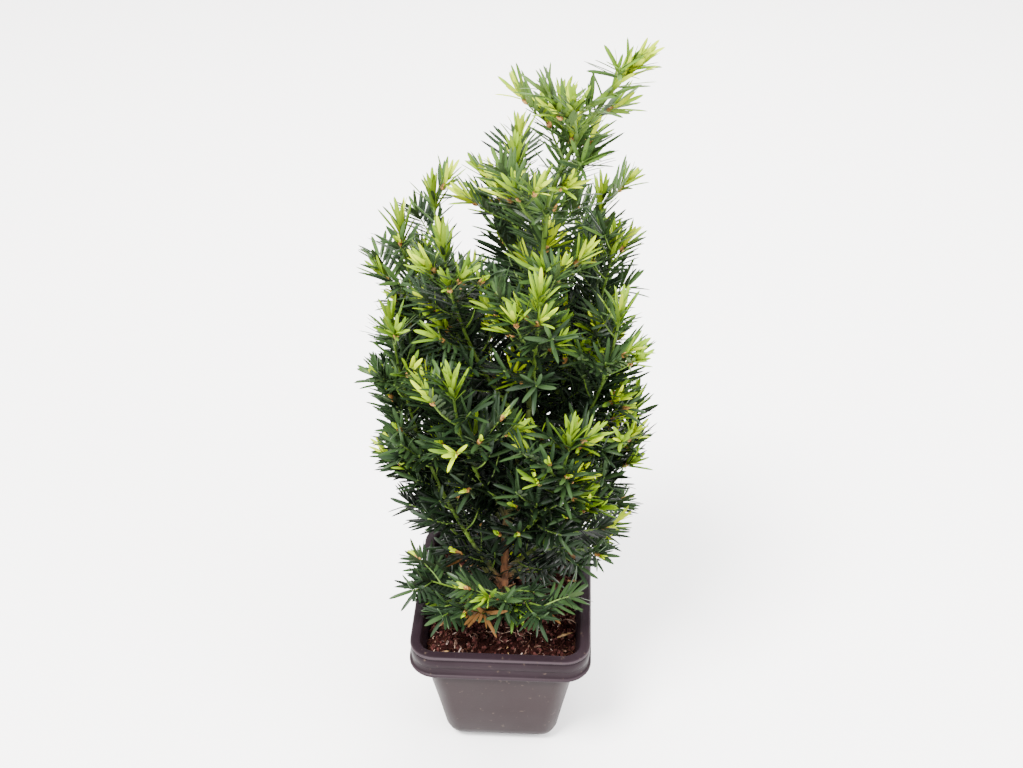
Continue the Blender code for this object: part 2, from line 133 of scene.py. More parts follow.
# What the compost is made of: its dark and light colours, and how fine its mottle is
COMPOST_TONES = {
    "compost_bed": ((0.0045, 0.0012, 0.0009), (0.0210, 0.0058, 0.0044), 260),
    "compost_crumb_dark": ((0.0040, 0.0010, 0.0008), (0.0210, 0.0056, 0.0046), 500),
    "compost_crumb_red": ((0.0170, 0.0052, 0.0046), (0.0860, 0.0295, 0.0255), 500),
    "husk_chip": ((0.050, 0.023, 0.016), (0.150, 0.090, 0.068), 600),
    "pale_splinter": ((0.16, 0.105, 0.085), (0.34, 0.26, 0.23), 600),
    "root_fibre": ((0.20, 0.125, 0.090), (0.40, 0.290, 0.225), 300),
    "coir_fibre": ((0.045, 0.018, 0.010), (0.100, 0.045, 0.026), 300),
    "fallen_needle": ((0.200, 0.105, 0.042), (0.380, 0.240, 0.120), 300),
}

# What is strewn on the bed: piece, form, how many to the square metre, smallest and largest
# share of its size, tilt, lift, seed, and tone
STREWN = (
    ("compost_crumbs_dark", "crumb", 190000, 0.5, 1.6, 3.1, 0.0003, 11, "compost_crumb_dark"),
    ("compost_crumbs_red", "crumb", 105000, 0.4, 1.5, 3.1, 0.0006, 12, "compost_crumb_red"),
    ("compost_chips", "chip", 48000, 0.4, 1.0, 0.9, 0.0009, 13, "husk_chip"),
    ("compost_splinters", "chip", 14000, 0.3, 0.8, 0.9, 0.0013, 16, "pale_splinter"),
    ("compost_fibres", "hair", 30000, 0.6, 1.2, 0.30, 0.0010, 14, "coir_fibre"),
    ("compost_roots", "root", 4500, 0.6, 1.1, 0.14, 0.0016, 15, "root_fibre"),
    ("compost_fallen_needles", "fallen", 2600, 0.7, 1.1, 0.12, 0.0018, 17, "fallen_needle"),
)
COMPOST_SEED = 7

# How many forms there are of each, and their shapes. A fibre is its least and greatest length,
# its radius, its bends, and how far it turns at each
FORM_COUNTS = {"crumb": 8, "chip": 5, "hair": 6, "root": 6, "fallen": 3}
CRUMB_SIZE = 0.0013
CRUMB_STRETCH = (1.0, 1.7)
CRUMB_ROUGHNESS = (0.65, 1.25)
CRUMB_FLATNESS = 0.7
CHIP_LENGTH = (0.0025, 0.0050)
CHIP_WIDTH = (0.0008, 0.0014)
CHIP_RAGGED_END = 0.12
CHIP_RAGGED_SIDE = (0.6, 1.1)
CHIP_FLATNESS = 0.35
CHIP_WARP = 0.1
HAIR = ((0.008, 0.016), 0.00013, 6, 0.55)
ROOT = ((0.009, 0.020), 0.00034, 7, 0.95)
FIBRE_LIFT = 0.22
FIBRE_TAPER = 0.6
FALLEN_SHORTER = 0.8

# Trunk and leader: an arc is (azimuth, rise at its start, rise at its end, length)
TRUNK_ARCS = ((20, 90, 87, 0.055), (-12, 84, 77, 0.060), (-15, 82, 86, 0.046))
TRUNK_RADII = (0.0022, 0.0015)
ROOT_FLARE_RADIUS = 0.0034
ROOT_FLARE_HEIGHT = 0.0100
LEADER_ARCS = ((-20, 86, 88, 0.022), (-60, 88, 80, 0.062), (-28, 72, 50, 0.080))
LEADER_RADII = (0.00140, 0.00075)
LEADER_TWIGS = 6

# Limbs: name, height up the trunk, azimuth, swing of the azimuth, rise at start and end, length,
# bare length before the mass begins, side twigs, and whether it is an erect shoot or a flat spray
Limb = namedtuple("Limb", "name height azimuth swing rise end_rise length bare twigs kind")
LIMBS = [Limb(*row) for row in (
    ("left_stem", 0.0135, 196, -16, 60, 86, 0.178, 0.036, 4, "erect"),
    ("inner_left_stem", 0.0580, 158, 8, 58, 86, 0.170, 0.026, 4, "erect"),
    ("right_stem", 0.0640, -18, 10, 50, 86, 0.142, 0.022, 3, "erect"),
    ("back_left_stem", 0.0420, 124, 8, 56, 86, 0.188, 0.030, 4, "erect"),
    ("back_right_stem", 0.0500, 46, -6, 56, 86, 0.184, 0.028, 4, "erect"),
    ("back_stem", 0.0290, 84, 6, 60, 88, 0.226, 0.034, 4, "erect"),
    ("front_left_stem", 0.0670, 236, 8, 48, 84, 0.112, 0.020, 3, "erect"),
    ("front_right_stem", 0.0440, 306, 10, 44, 82, 0.112, 0.020, 3, "erect"),
    ("outer_right_stem", 0.0240, 354, 12, 42, 80, 0.130, 0.024, 3, "erect"),
    ("outer_left_stem", 0.0085, 164, -8, 46, 80, 0.136, 0.028, 3, "erect"),
    ("upper_right_shoot", 0.1120, 26, -10, 50, 84, 0.110, 0.016, 2, "erect"),
    ("upper_left_shoot", 0.1200, 204, -8, 54, 86, 0.116, 0.016, 2, "erect"),
    ("upper_back_shoot", 0.1300, 100, 6, 54, 86, 0.122, 0.016, 2, "erect"),
    ("upper_front_shoot", 0.1420, 272, 10, 50, 80, 0.082, 0.014, 1, "erect"),
    ("low_right_spray", 0.0165, 28, -12, 32, 6, 0.058, 0.014, 4, "spray"),
    ("low_left_spray", 0.0060, 224, -12, 34, 8, 0.040, 0.012, 3, "spray"),
    ("low_front_spray", 0.0105, 286, -6, 44, 8, 0.038, 0.010, 2, "spray"),
    ("low_back_spray", 0.0060, 106, 8, 26, 8, 0.058, 0.014, 4, "spray"),
)]
MASSES = [limb.name + "_foliage" for limb in LIMBS] + ["leader_foliage"]
BOUGHS = [limb.name + "_bough" for limb in LIMBS]
BOUGH_RADII = (0.00135, 0.00105)
STEM_RADII = (0.00105, 0.00055)
TWIG_RADII = (0.00062, 0.00038)
TWIGLET_RADII = (0.00045, 0.00030)
PATH_STEP = 0.012
FIRST_SEED = 41

# Side twigs, by the solids' rule
TWIG_SHARES = (0.12, 0.80)
TWIG_SHARE_JITTER = 0.03
TWIG_LENGTH = 0.036
TWIG_SHORTENING = 0.55
TWIG_LENGTH_RANGE = (0.85, 1.15)
ERECT_TURN = (30, 75)
ERECT_RISE = (34, 46)
ERECT_STEEPENING = 26
SPRAY_TURN = (42, 52)
SPRAY_RISE_JITTER = (-4, 6)
SPRAY_STEEPENING = 6
TWIG_SWING = 10
TWIG_BARE = 0.003
GOLDEN_ANGLE = 137.5
AXIS_STEP = 0.002

# Twiglets: the finer twigs that the solids leave out. They end within the solids' reach, and
# stand more rarely on the upper part of an erect stem
TWIGLET_SPACING = 0.0058
AXIL_SPACING = 0.017
FIRST_TWIGLET = (0.4, 0.9)
NEXT_TWIGLET = (0.75, 1.25)
LAST_TWIGLET = 0.6
TIP_MARGIN = 0.012
THINNED_FROM = 0.50
THINNING = 6.0
TWIGLET_LENGTH = (0.013, 0.025)
TWIGLET_SHORTENING = 0.35
LEADER_TWIGLET = 0.4
TWIGLET_ANGLE = (38, 54)
TWIGLET_TURN = 20
TWIGLET_BEND = 0.18
TWIGLET_BARE = 0.002
TWIGLET_CLEARANCE = 0.0036
TWIGLET_SEED = 500

# Needles at their real size, all round an erect stem and in two combed rows on its side twigs
NEEDLE_LENGTH = (0.0150, 0.0205)
NEEDLE_WIDTH = (0.0016, 0.0021)
NEEDLE_THICKNESS = 0.00045
STEM_SPACING = 0.0018
LEADER_SPACING = 0.0021
TWIG_SPACING = 0.00118
NEEDLE_ANGLE = (46, 60)
COMB_ANGLE = (54, 63)
FLAT_LIFTS = {"comb": (2, 34), "spray": (0, 14)}
ROUND_ABOUT = (0, 0)
NEARLY_UPRIGHT = 0.98
FLAT_FACING = 0.5
ERECT_FACING = 0.35
LIFT_JITTER = 6
TURN_JITTER = 9
TIP_FORWARD = 0.3
TIP_SHORTENING = 0.35
FOOT_SHARE = 0.12
FOOT_LENGTH = 0.75
SPRAY_LENGTH = 0.84
NEEDLE_SEED = 1000

# How far a needle stays off other axes and the compost, tested at these shares of its length,
# and how much shorter it is tried again
NEEDLE_CLEARANCE = 0.0010
NEEDLE_SHARES = (0.35, 0.7, 1.0)
SHORTER = 0.72

# A needle's stations from its stalk, each the share of its length and of its width, and the
# forms of needle: how far the tip bends down, and to the side, as shares of this length
NEEDLE_STATIONS = ((0.0, 0.16), (0.06, 0.28), (0.16, 0.92), (0.45, 1.0), (0.76, 0.90), (0.92, 0.56))
DROOPS = (0.02, 0.06, 0.10, 0.14)
SICKLE = 0.045
FORM_LENGTH = 0.0178
FORM_WIDTH = 0.00185
STRAIGHT_BELOW = 0.0100

# Tufts: needles at least and at most, how far back they start, their longest and shortest, and
# how far they lean out at the tip and at the tuft's foot
LEADER_TUFT = (22, 26, 0.0170, 0.0180, 0.0125, 3, 38)
STEM_TUFT = (13, 17, 0.0105, 0.0180, 0.0125, 3, 40)
TWIG_TUFT = (7, 10, 0.0048, 0.0150, 0.0110, 3, 40)
OLD_TUFT = (6, 8, 0.0060, 0.0150, 0.0115, 28, 52)
BUD_TUFT = (3, 4, -0.0010, 0.0060, 0.0052, 2, 12)
TUFT_WIDTH = (0.0017, 0.0022)
TUFT_LENGTH_RANGE = (0.88, 1.12)
TUFT_FOOT = (0.30, 0.45)

# Where needles stand on the limbs below the masses
BOUGH_BARE = 0.0045
CLOTHED_TRUNK = ((0.004, 0.026), (0.062, 0.160))

# How fresh growth is, from 0, old and dark, to 1, this spring's. Needles are also darker low
# down and towards the crown's middle, partly as older growth and partly as painted shade
CROWN_HEIGHT = 0.33
CROWN_REACH = 0.055
OLDEST = 0.02
# Needles darker low down and towards the middle: partly older growth, partly painted shade
BY_HEIGHT = 0.28
BY_REACH = 0.14
LEADER_FRESHNESS = (0.02, 0.14)
SPRAY_FRESHNESS = 0.09
STEM_TIP_FRESHER = 0.16
STEM_TUFT_FRESHER = 0.34
FRESHEST = 0.97
BRIGHT_TWIG_FRESHER = 0.22
OLD_TWIG_FRESHER = 0.04
OLD_TUFT_FRESHER = 0.12
BOUGH_FRESHER = 0.05
TRUNK_FRESHER = 0.10
BRIGHT_TIPS = (0.05, 0.82)
BRIGHTNESS = (0.80, 0.97)
CLOSED_BUDS = 0.30
SHOOT_SPREAD = 0.05
NEEDLE_SPREAD = 0.035

# Shades of needle, old to new: name, upper side, underside (linear colours). The nearly black
# deep and inner shades are partly painted shade for the crown's inside and its low part
SHADES = (
    ("deep", (0.0023, 0.0049, 0.0022), (0.0056, 0.0094, 0.0041)),
    ("inner", (0.0045, 0.0094, 0.0039), (0.0102, 0.0163, 0.0069)),
    ("dark", (0.0102, 0.0220, 0.0084), (0.0195, 0.0308, 0.0128)),
    ("bottle", (0.0210, 0.0430, 0.0136), (0.0310, 0.0520, 0.0185)),
    ("green", (0.0340, 0.0690, 0.0160), (0.0435, 0.0745, 0.0205)),
    ("leaf", (0.0520, 0.1030, 0.0155), (0.0620, 0.1070, 0.0205)),
    ("fresh", (0.0840, 0.1580, 0.0135), (0.0950, 0.1600, 0.0170)),
    ("lime", (0.1720, 0.2840, 0.0115), (0.1800, 0.2780, 0.0150)),
    ("yellow", (0.4050, 0.5250, 0.0075), (0.3800, 0.4900, 0.0120)),
)
OLD_GLOSS = 0.13
NEW_GLOSS = 0.04
UPPER_ROUGHNESS = 0.36
UNDER_ROUGHNESS = 0.60

# Dry brown needles that still hang low in the crown, alone or on a whole twiglet
WITHERED = ("withered", (0.0820, 0.0400, 0.0130), (0.1150, 0.0640, 0.0240))
WITHERED_BELOW = 0.110
WITHERED_WITHIN = 0.036
WITHERED_NEEDLES = 0.008
WITHERED_TWIGLETS = 0.04
WITHERED_SEED = 77

# Bark: how deep the stem is sunk, the rings' spacing and sides, how rough, and how much younger
# a bough is at its end; the height over which old wood turns young; the buttresses' height
SUNK = 0.0008
TRUNK_RINGS = (0.0007, 20, 1.0, 0.0)
BOUGH_RINGS = (0.0008, 12, 0.6, 0.75)
BOUGH_SWELL = (0.0005, 0.005)
YOUNG_FROM = 0.17
BUTTRESS_HEIGHT = 0.007

# The bark's relief: how fine flakes and lumps are across and along a stem, and where in the
# noise; the ribs' count and twist, the buttresses' count and turn; how deep each is
FLAKES = (700, 240, 0)
BUMPS = (260, 120, 5)
RIBS = (5, 160)
BUTTRESSES = (3, 0.6)
FLAKE_DEPTH = 0.00016
FLAKES_ON_YOUNG = 0.35
BUMP_DEPTH = 0.00014
RIB_DEPTH = 0.00008
BUTTRESS_DEPTH = 0.00035

TWIG_STEP = 0.003

# Buds: the radius of a scale, how flat it is and how far off the axis, how long it is on an
# opened and on a closed bud, and how far behind the tip a closed bud sits
BUD_SCALE = 0.0011
SCALE_FLATNESS = 0.45
SCALE_OFFSET = 0.00060
SCALES_ROUND = 4
SCALE_TURN = 20
SCALE_SIZES = (0.75, 1.15)
OPENED_STRETCH = 1.7
CLOSED_STRETCH = 2.3
CLOSED_BACK = 0.0006
BUD_SEED = 91

# Studio: a light is its name, place, what it points at, size, power and colour
FLOOR_SIZE = 6
SKY = ((1.0, 0.985, 0.98), 3.0)
LIGHTS = (
    ("key", (-0.9, -1.2, 2.8), (0, 0, 0.18), 1.1, 350, (1.0, 0.98, 0.96)),
    ("fill", (1.1, -0.6, 0.9), (0, 0, 0.18), 0.9, 22, (0.97, 0.98, 1.0)),
    ("back", (0.2, 1.0, 1.2), (0, 0, 0.2), 0.8, 30, (1.0, 1.0, 1.0)),
)
CAMERA_PLACE = (0.029, -0.509, 0.567)
CAMERA_AIM = (0.004, 0.0, 0.213)
CAMERA_LENS = 46


# Paths, by the solids' rule


def direction(azimuth, rise):
    a = math.radians(azimuth)
    e = math.radians(rise)
    return Vector((math.cos(a) * math.cos(e), math.sin(a) * math.cos(e), math.sin(e)))


def arc_path(start, azimuth, swing, rise, end_rise, length):
    """Points along an arc whose heading turns evenly from its first angles to its last."""
    steps = max(2, round(length / PATH_STEP))
    points = [Vector(start)]
    for k in range(steps):
        share = (k + 0.5) / steps
        heading = direction(azimuth + swing * share, rise + (end_rise - rise) * share)
        points.append(points[-1] + heading * (length / steps))
    return points


def joined_arcs(start, arcs):
    points = [Vector(start)]
    for azimuth, rise, end_rise, length in arcs:
        points += arc_path(points[-1], azimuth, 0, rise, end_rise, length)[1:]
    return points


def lengths_along(points):
    run = [0.0]
    for a, b in zip(points, points[1:]):
        run.append(run[-1] + (b - a).length)
    return run


def point_at(points, distance):
    """The point this far along the path, and the path's heading there."""
    run = lengths_along(points)
    for k, (a, b) in enumerate(zip(points, points[1:])):
        if distance <= run[k + 1] or k == len(points) - 2:
            share = (distance - run[k]) / (run[k + 1] - run[k])
            return a.lerp(b, share), (b - a).normalized()


def cut_path(points, start, end):
    """The stretch of the path between two distances along it."""
    run = lengths_along(points)
    inner = [p for p, at in zip(points, run) if start + GAP < at < end - GAP]
    return [point_at(points, start)[0], *inner, point_at(points, end)[0]]


def rounded(points, step):
    """The path as a smooth curve through its own points, with a point at every step."""
    padded = [points[0] * 2 - points[1], *points, points[-1] * 2 - points[-2]]
    fine = []
    for a, b, c, d in zip(padded, padded[1:], padded[2:], padded[3:]):
        count = max(1, round((c - b).length / step))
        for k in range(count):
            t = k / count
            fine.append(0.5 * (2 * b + (c - a) * t + (2 * a - 5 * b + 4 * c - d) * t**2
                               + (3 * b - a - 3 * c + d) * t**3))
    return [*fine, points[-1]]


def twig_plans(path, azimuth, count, kind, rng):
    """The paths of a stem's side twigs, drawn in the same order as the solids draw them."""
    total = lengths_along(path)[-1]
    plans = []
    for k in range(count):
        share = TWIG_SHARES[0] + (TWIG_SHARES[1] - TWIG_SHARES[0]) * (k + 0.5) / count
        share += rng.uniform(-TWIG_SHARE_JITTER, TWIG_SHARE_JITTER)
        length = TWIG_LENGTH * (1 - TWIG_SHORTENING * share) * rng.uniform(*TWIG_LENGTH_RANGE)
        start, heading = point_at(path, total * share)
        side = 1 if k % 2 else -1
        if kind == "spray":
            turn = side * rng.uniform(*SPRAY_TURN)
            rise = math.degrees(math.asin(heading.z)) + rng.uniform(*SPRAY_RISE_JITTER)
            steepening = SPRAY_STEEPENING
        else:
            turn = side * rng.uniform(*ERECT_TURN)
            rise = rng.uniform(*ERECT_RISE)
            steepening = ERECT_STEEPENING
        if kind == "leader":
            turn = GOLDEN_ANGLE * k
        swing = -side * TWIG_SWING
        plans.append(arc_path(start, azimuth + turn, swing, rise, rise + steepening, length))
    return plans


class Nearby:
    """The axes of all stems and twigs, to keep what grows later off them."""

    def __init__(self):
        self.points = []

    def add(self, owner, path):
        total = lengths_along(path)[-1]
        count = max(2, round(total / AXIS_STEP))
        self.points += [(owner, point_at(path, total * k / count)[0]) for k in range(count + 1)]

    def build(self):
        self.tree = kdtree.KDTree(len(self.points))
        for k, (_, p) in enumerate(self.points):
            self.tree.insert(p, k)
        self.tree.balance()

    def clear(self, owner, p, distance):
        """Whether the point is this far from every axis but its owner's."""
        return all(self.points[k][0] == owner for _, k, _ in self.tree.find_range(p, distance))


# Growth


class Shoot:
    """A stem, twig or twiglet: its path and radii, how its needles stand, and its bare length."""

    def __init__(self, path, radii, kind, owner, bare=0.0):
        self.path = path
        self.radii = radii
        self.kind = kind
        self.owner = owner
        self.bare = bare
        self.length = lengths_along(path)[-1]


def grow_limbs():
    """The trunk, the leader and every limb's whole path, from the trunk's axis to its tip."""
    trunk = joined_arcs((0, 0, COMPOST_TOP + GAP), TRUNK_ARCS)
    leader = joined_arcs(trunk[-1], LEADER_ARCS)
    paths = {limb.name: arc_path(point_at(trunk, limb.height)[0], limb.azimuth, limb.swing,
                                 limb.rise, limb.end_rise, limb.length) for limb in LIMBS}
    return trunk, leader, paths


def grow_shoots(trunk, leader, paths):
    """Every stem and side twig, then the twiglets that find room among them."""
    plans = [("leader", leader, 0.0, LEADER_RADII, LEADER_ARCS[1][0], LEADER_TWIGS, "leader")]
    plans += [(limb.name, paths[limb.name], limb.bare, STEM_RADII, limb.azimuth, limb.twigs,
               limb.kind) for limb in LIMBS]
    nearby = Nearby()
    nearby.add("trunk", trunk)
    stems, twigs = [], []
    for k, (name, path, bare, radii, azimuth, count, kind) in enumerate(plans):
        stem = Shoot(cut_path(path, bare + GAP, lengths_along(path)[-1]), radii, kind, name)
        stems.append(stem)
        nearby.add(name, path)
        rng = random.Random(FIRST_SEED + k)
        for number, twig in enumerate(twig_plans(stem.path, azimuth, count, kind, rng)):
            owner = f"{name}_{number}"
            twigs.append(Shoot(twig, TWIG_RADII, habit_on(kind), owner, TWIG_BARE))
            nearby.add(owner, twig)
    nearby.build()
    boughs = [Shoot(cut_path(paths[limb.name], 0, limb.bare), BOUGH_RADII, limb.kind, limb.name,
                    BOUGH_BARE) for limb in LIMBS]
    bole = Shoot(trunk, TRUNK_RADII, "erect", "trunk", CLOTHED_TRUNK[1][0])
    rng = random.Random(TWIGLET_SEED)
    twiglets = []
    for parent in (*stems, *twigs, *boughs, bole):
        twiglets += twiglets_on(parent, nearby, rng)
    for twiglet in twiglets:
        nearby.add(twiglet.owner, twiglet.path)
    nearby.build()
    return stems, twigs, twiglets, nearby


def habit_on(kind):
    """How needles stand on the side twigs of this kind of limb."""
    return "spray" if kind == "spray" else "comb"


def within_reach(p):
    """Whether a twiglet that ends here keeps its needles within the solids' reach."""
    return all(low + TIP_MARGIN < v < high - TIP_MARGIN for v, low, high in zip(p, *CAD_BOX))


def twiglets_on(parent, nearby, rng):
    """Short twiglets by turns on the two sides of their parent, where there is room for them."""
    found = []
    leading = parent.owner == "leader"
    spacing = AXIL_SPACING if leading else TWIGLET_SPACING
    at = parent.bare + spacing * rng.uniform(*FIRST_TWIGLET)
    number = 0
    while at < parent.length - spacing * LAST_TWIGLET:
        share = at / parent.length
        start, heading = point_at(parent.path, at)
        lift = rng.uniform(*FLAT_LIFTS.get(parent.kind, ROUND_ABOUT))
        turn = GOLDEN_ANGLE * number + rng.uniform(-TWIGLET_TURN, TWIGLET_TURN)
        out = across(heading, turn, parent.kind, lift)
        way = leaning(heading, out, math.radians(rng.uniform(*TWIGLET_ANGLE)))
        length = rng.uniform(*TWIGLET_LENGTH)
        length *= LEADER_TWIGLET if leading else 1 - TWIGLET_SHORTENING * share
        bend = heading * length * TWIGLET_BEND
        path = [start, start + way * length * 0.5, start + way * length + bend]
        number += 1
        rarer = THINNING * max(0.0, share - THINNED_FROM) if parent.kind == "erect" else 0
        at += spacing * rng.uniform(*NEXT_TWIGLET) * (1 + rarer)
        roomy = all(nearby.clear(parent.owner, p, TWIGLET_CLEARANCE) for p in path[1:])
        if roomy and within_reach(path[-1]):
            owner = f"{parent.owner}_{number}t"
            found.append(Shoot(path, TWIGLET_RADII, habit_on(parent.kind), owner, TWIGLET_BARE))
    return found


def across(heading, angle, kind, lift=0.0):
    """A unit vector square to the heading: round it on an erect shoot, to a side on a flat one."""
    up = Vector((0, 0, 1)) if abs(heading.z) < NEARLY_UPRIGHT else Vector((1, 0, 0))
    raised = (up - heading * up.dot(heading)).normalized()
    side = heading.cross(raised)
    if kind in FLAT_LIFTS:
        way = 1 if angle % 360 < 180 else -1
        return side * way * math.cos(math.radians(lift)) + raised * math.sin(math.radians(lift))
    return leaning(side, raised, math.radians(angle))


def leaning(heading, out, angle):
    """The heading turned by this angle towards a direction square to it."""
    return heading * math.cos(angle) + out * math.sin(angle)


def facing(heading, kind):
    """Which way the upper side of a needle looks: up on a spray, to the tip on an erect shoot."""
    if kind in FLAT_LIFTS:
        return (Vector((0, 0, 1)) - heading * heading.z * FLAT_FACING).normalized()
    return (heading + Vector((0, 0, ERECT_FACING))).normalized()


class Needles:
    """Every needle's place, direction, size, form and shade."""

    def __init__(self, nearby, twiglets):
        self.nearby = nearby
        self.rows = {shade[0]: [] for shade in (*SHADES, WITHERED)}
        self.fate = random.Random(WITHERED_SEED)
        self.withered = {shoot.owner for shoot in twiglets if self.withers(shoot.path[0])}
        self.opened = []
        self.closed = []

    def withers(self, p):
        """Whether a whole twiglet at this point has dried up."""
        inside = p.z < WITHERED_BELOW and math.hypot(p.x, p.y) < WITHERED_WITHIN
        return inside and self.fate.random() < WITHERED_TWIGLETS

    def fits(self, owner, root, reach, bend):
        """Whether a needle stays above the compost and off every axis but its own."""
        for share in NEEDLE_SHARES:
            p = root + reach * share + bend * share**2
            if p.z < COMPOST_TOP + NEEDLE_CLEARANCE:
                return False
            if not self.nearby.clear(owner, p, NEEDLE_CLEARANCE):
                return False
        return True

    def add(self, owner, root, heading, way, upper, length, width, freshness, rng):
        """Keeps a needle where it fits, or else a shorter one, curved towards its shoot's tip."""
        droop = rng.randrange(len(DROOPS)) if length > STRAIGHT_BELOW else 0
        crest = (upper - way * upper.dot(way)).normalized()
        side = crest.cross(way)
        turned = side.dot(heading) < 0
        bend = (side * (-SICKLE if turned else SICKLE) - crest * DROOPS[droop]) * FORM_LENGTH
        shade = SHADES[min(len(SHADES) - 1, max(0, int(freshness * len(SHADES))))]
        alone = root.z < WITHERED_BELOW and owner not in self.withered
        if owner in self.withered or (alone and self.fate.random() < WITHERED_NEEDLES):
            shade = WITHERED
        for size in (length, length * SHORTER):
            if self.fits(owner, root, way * size, bend):
                form = 2 * droop + turned
                self.rows[shade[0]].append((root, way, upper, size, width, form))
                return

    def clothe(self, shoot, spacing, base, tip, rng):
        """Needles along a shoot, fresher towards its tip."""
        flat = shoot.kind in FLAT_LIFTS
        count = int((shoot.length - shoot.bare) / spacing)
        tone = rng.gauss(0, SHOOT_SPREAD)
        lift = rng.uniform(*FLAT_LIFTS.get(shoot.kind, ROUND_ABOUT))
        for k in range(count):
            share = (k + 0.5) / count
            root, heading = point_at(shoot.path, shoot.bare + spacing * (k + 0.5))
            turn = 90 + 180 * (k % 2)
            if not flat:
                turn = GOLDEN_ANGLE * k + rng.uniform(-TURN_JITTER, TURN_JITTER)
            lean = math.radians(rng.uniform(*(COMB_ANGLE if flat else NEEDLE_ANGLE)))
            lean *= 1 - TIP_FORWARD * share**3
            out = across(heading, turn, shoot.kind, lift + rng.uniform(-LIFT_JITTER, LIFT_JITTER))
            way = leaning(heading, out, lean)
            length = rng.uniform(*NEEDLE_LENGTH) * (1 - TIP_SHORTENING * share**4)
            if share < FOOT_SHARE:
                length *= FOOT_LENGTH
            if shoot.kind == "spray":
                length *= SPRAY_LENGTH
            width = rng.uniform(*NEEDLE_WIDTH)
            fresh = base + (tip - base) * share**2 + tone + rng.gauss(0, NEEDLE_SPREAD)
            upper = facing(heading, shoot.kind)
            self.add(shoot.owner, root, heading, way, upper, length, width, fresh, rng)

    def tuft(self, shoot, form, freshness, rng):
        """New needles that open forwards along the last stretch before a tip."""
        least, most, depth, longest, shortest, closest, widest = form
        older, newer_from = TUFT_FOOT
        count = rng.randint(least, most)
        for k in range(count):
            share = k / count
            root, heading = point_at(shoot.path, shoot.length - depth * (1 - share))
            turn = GOLDEN_ANGLE * k + rng.uniform(-TURN_JITTER, TURN_JITTER)
            lean = math.radians(widest + (closest - widest) * share**0.6)
            way = leaning(heading, across(heading, turn, "tuft"), lean)
            length = (longest + (shortest - longest) * share) * rng.uniform(*TUFT_LENGTH_RANGE)
            fresh = freshness + older * min(0.0, share - newer_from) + rng.gauss(0, NEEDLE_SPREAD)
            width = rng.uniform(*TUFT_WIDTH)
            self.add(shoot.owner, root, heading, way, heading, length, width, fresh, rng)


def height_share(p):
    """How high in the crown a point is, from 0 at the compost to 1 at the top."""
    return max(0.0, p.z - COMPOST_TOP) / CROWN_HEIGHT


def age_and_shade_of(p, owner):
    """How fresh the growth is at a point, bright on the leader; dark inside and low down,
    partly for older needles and partly as painted shade.
    """
    share = height_share(p)
    reach = min(1.0, math.hypot(p.x, p.y) / CROWN_REACH)
    fresh = OLDEST + BY_HEIGHT * share**0.65 + BY_REACH * reach
    if owner.startswith("leader"):
        fresh += LEADER_FRESHNESS[0] + LEADER_FRESHNESS[1] * share
    if owner.startswith("low"):
        fresh += SPRAY_FRESHNESS
    return fresh


def bright_chance(shoot):
    """How likely a twig is to end in bright new needles: seldom low down, nearly always on top."""
    least, most = BRIGHT_TIPS
    return least + (most - least) * min(1.0, height_share(shoot.path[-1]))**1.2


def dress(stems, twigs, twiglets, trunk, paths, nearby):
    """All needles: on the stems, along the boughs, on twigs and twiglets, and in the tufts."""
    needles = Needles(nearby, twiglets)
    rng = random.Random(NEEDLE_SEED)
    for shoot in stems:
        base = age_and_shade_of(shoot.path[0], shoot.owner)
        tip = age_and_shade_of(shoot.path[-1], shoot.owner) + STEM_TIP_FRESHER
        leading = shoot.kind == "leader"
        needles.clothe(shoot, LEADER_SPACING if leading else STEM_SPACING, base, tip, rng)
        newest = min(FRESHEST, tip + STEM_TUFT_FRESHER)
        needles.tuft(shoot, LEADER_TUFT if leading else STEM_TUFT, newest, rng)
    for shoot in twigs + twiglets:
        alive = shoot.owner not in needles.withered
        base = age_and_shade_of(shoot.path[0], shoot.owner)
        bright = rng.random() < bright_chance(shoot) and alive
        tip = base + (BRIGHT_TWIG_FRESHER if bright else OLD_TWIG_FRESHER)
        needles.clothe(shoot, TWIG_SPACING, base, tip, rng)
        if bright:
            needles.tuft(shoot, TWIG_TUFT, rng.uniform(*BRIGHTNESS), rng)
            needles.opened.append(shoot)
            continue
        needles.tuft(shoot, OLD_TUFT, base + OLD_TUFT_FRESHER, rng)
        if rng.random() < CLOSED_BUDS and alive:
            needles.tuft(shoot, BUD_TUFT, BRIGHTNESS[1], rng)
            needles.closed.append(shoot)
    stretches = [(paths[limb.name], BOUGH_BARE, limb.bare, BOUGH_RADII, limb.kind, limb.name,
                  BOUGH_FRESHER) for limb in LIMBS]
    stretches += [(trunk, start, end, TRUNK_RADII, "erect", "trunk", TRUNK_FRESHER)
                  for start, end in CLOTHED_TRUNK]
    for path, start, end, radii, kind, owner, fresher in stretches:
        stretch = Shoot(cut_path(path, start, end), radii, kind, owner)
        base = age_and_shade_of(stretch.path[0], owner)
        needles.clothe(stretch, STEM_SPACING, base, base + fresher, rng)
    return needles


# Finishes


def feed(tree, node, inputs):
    """Gives each of a node's inputs its value, or links the socket that feeds it."""
    for name, value in inputs.items():
        socket = node.inputs[name]
        if isinstance(value, bpy.types.NodeSocket):
            tree.links.new(value, socket)
        elif socket.type == "RGBA":
            socket.default_value = (*value, 1)
        else:
            socket.default_value = value


def node_in(tree, kind, inputs=None, **settings):
    """A new node with these settings and inputs."""
    node = tree.nodes.new(kind)
    for name, value in settings.items():
        setattr(node, name, value)
    feed(tree, node, inputs or {})
    return node


def finish_named(name, colour, roughness, specular=0.5):
    material = bpy.data.materials.new(name)
    material.use_nodes = True
    tree = material.node_tree
    shader = tree.nodes["Principled BSDF"]
    feed(tree, shader, {"Base Color": colour, "Roughness": roughness,
                        "Specular IOR Level": specular})
    return material, tree, shader


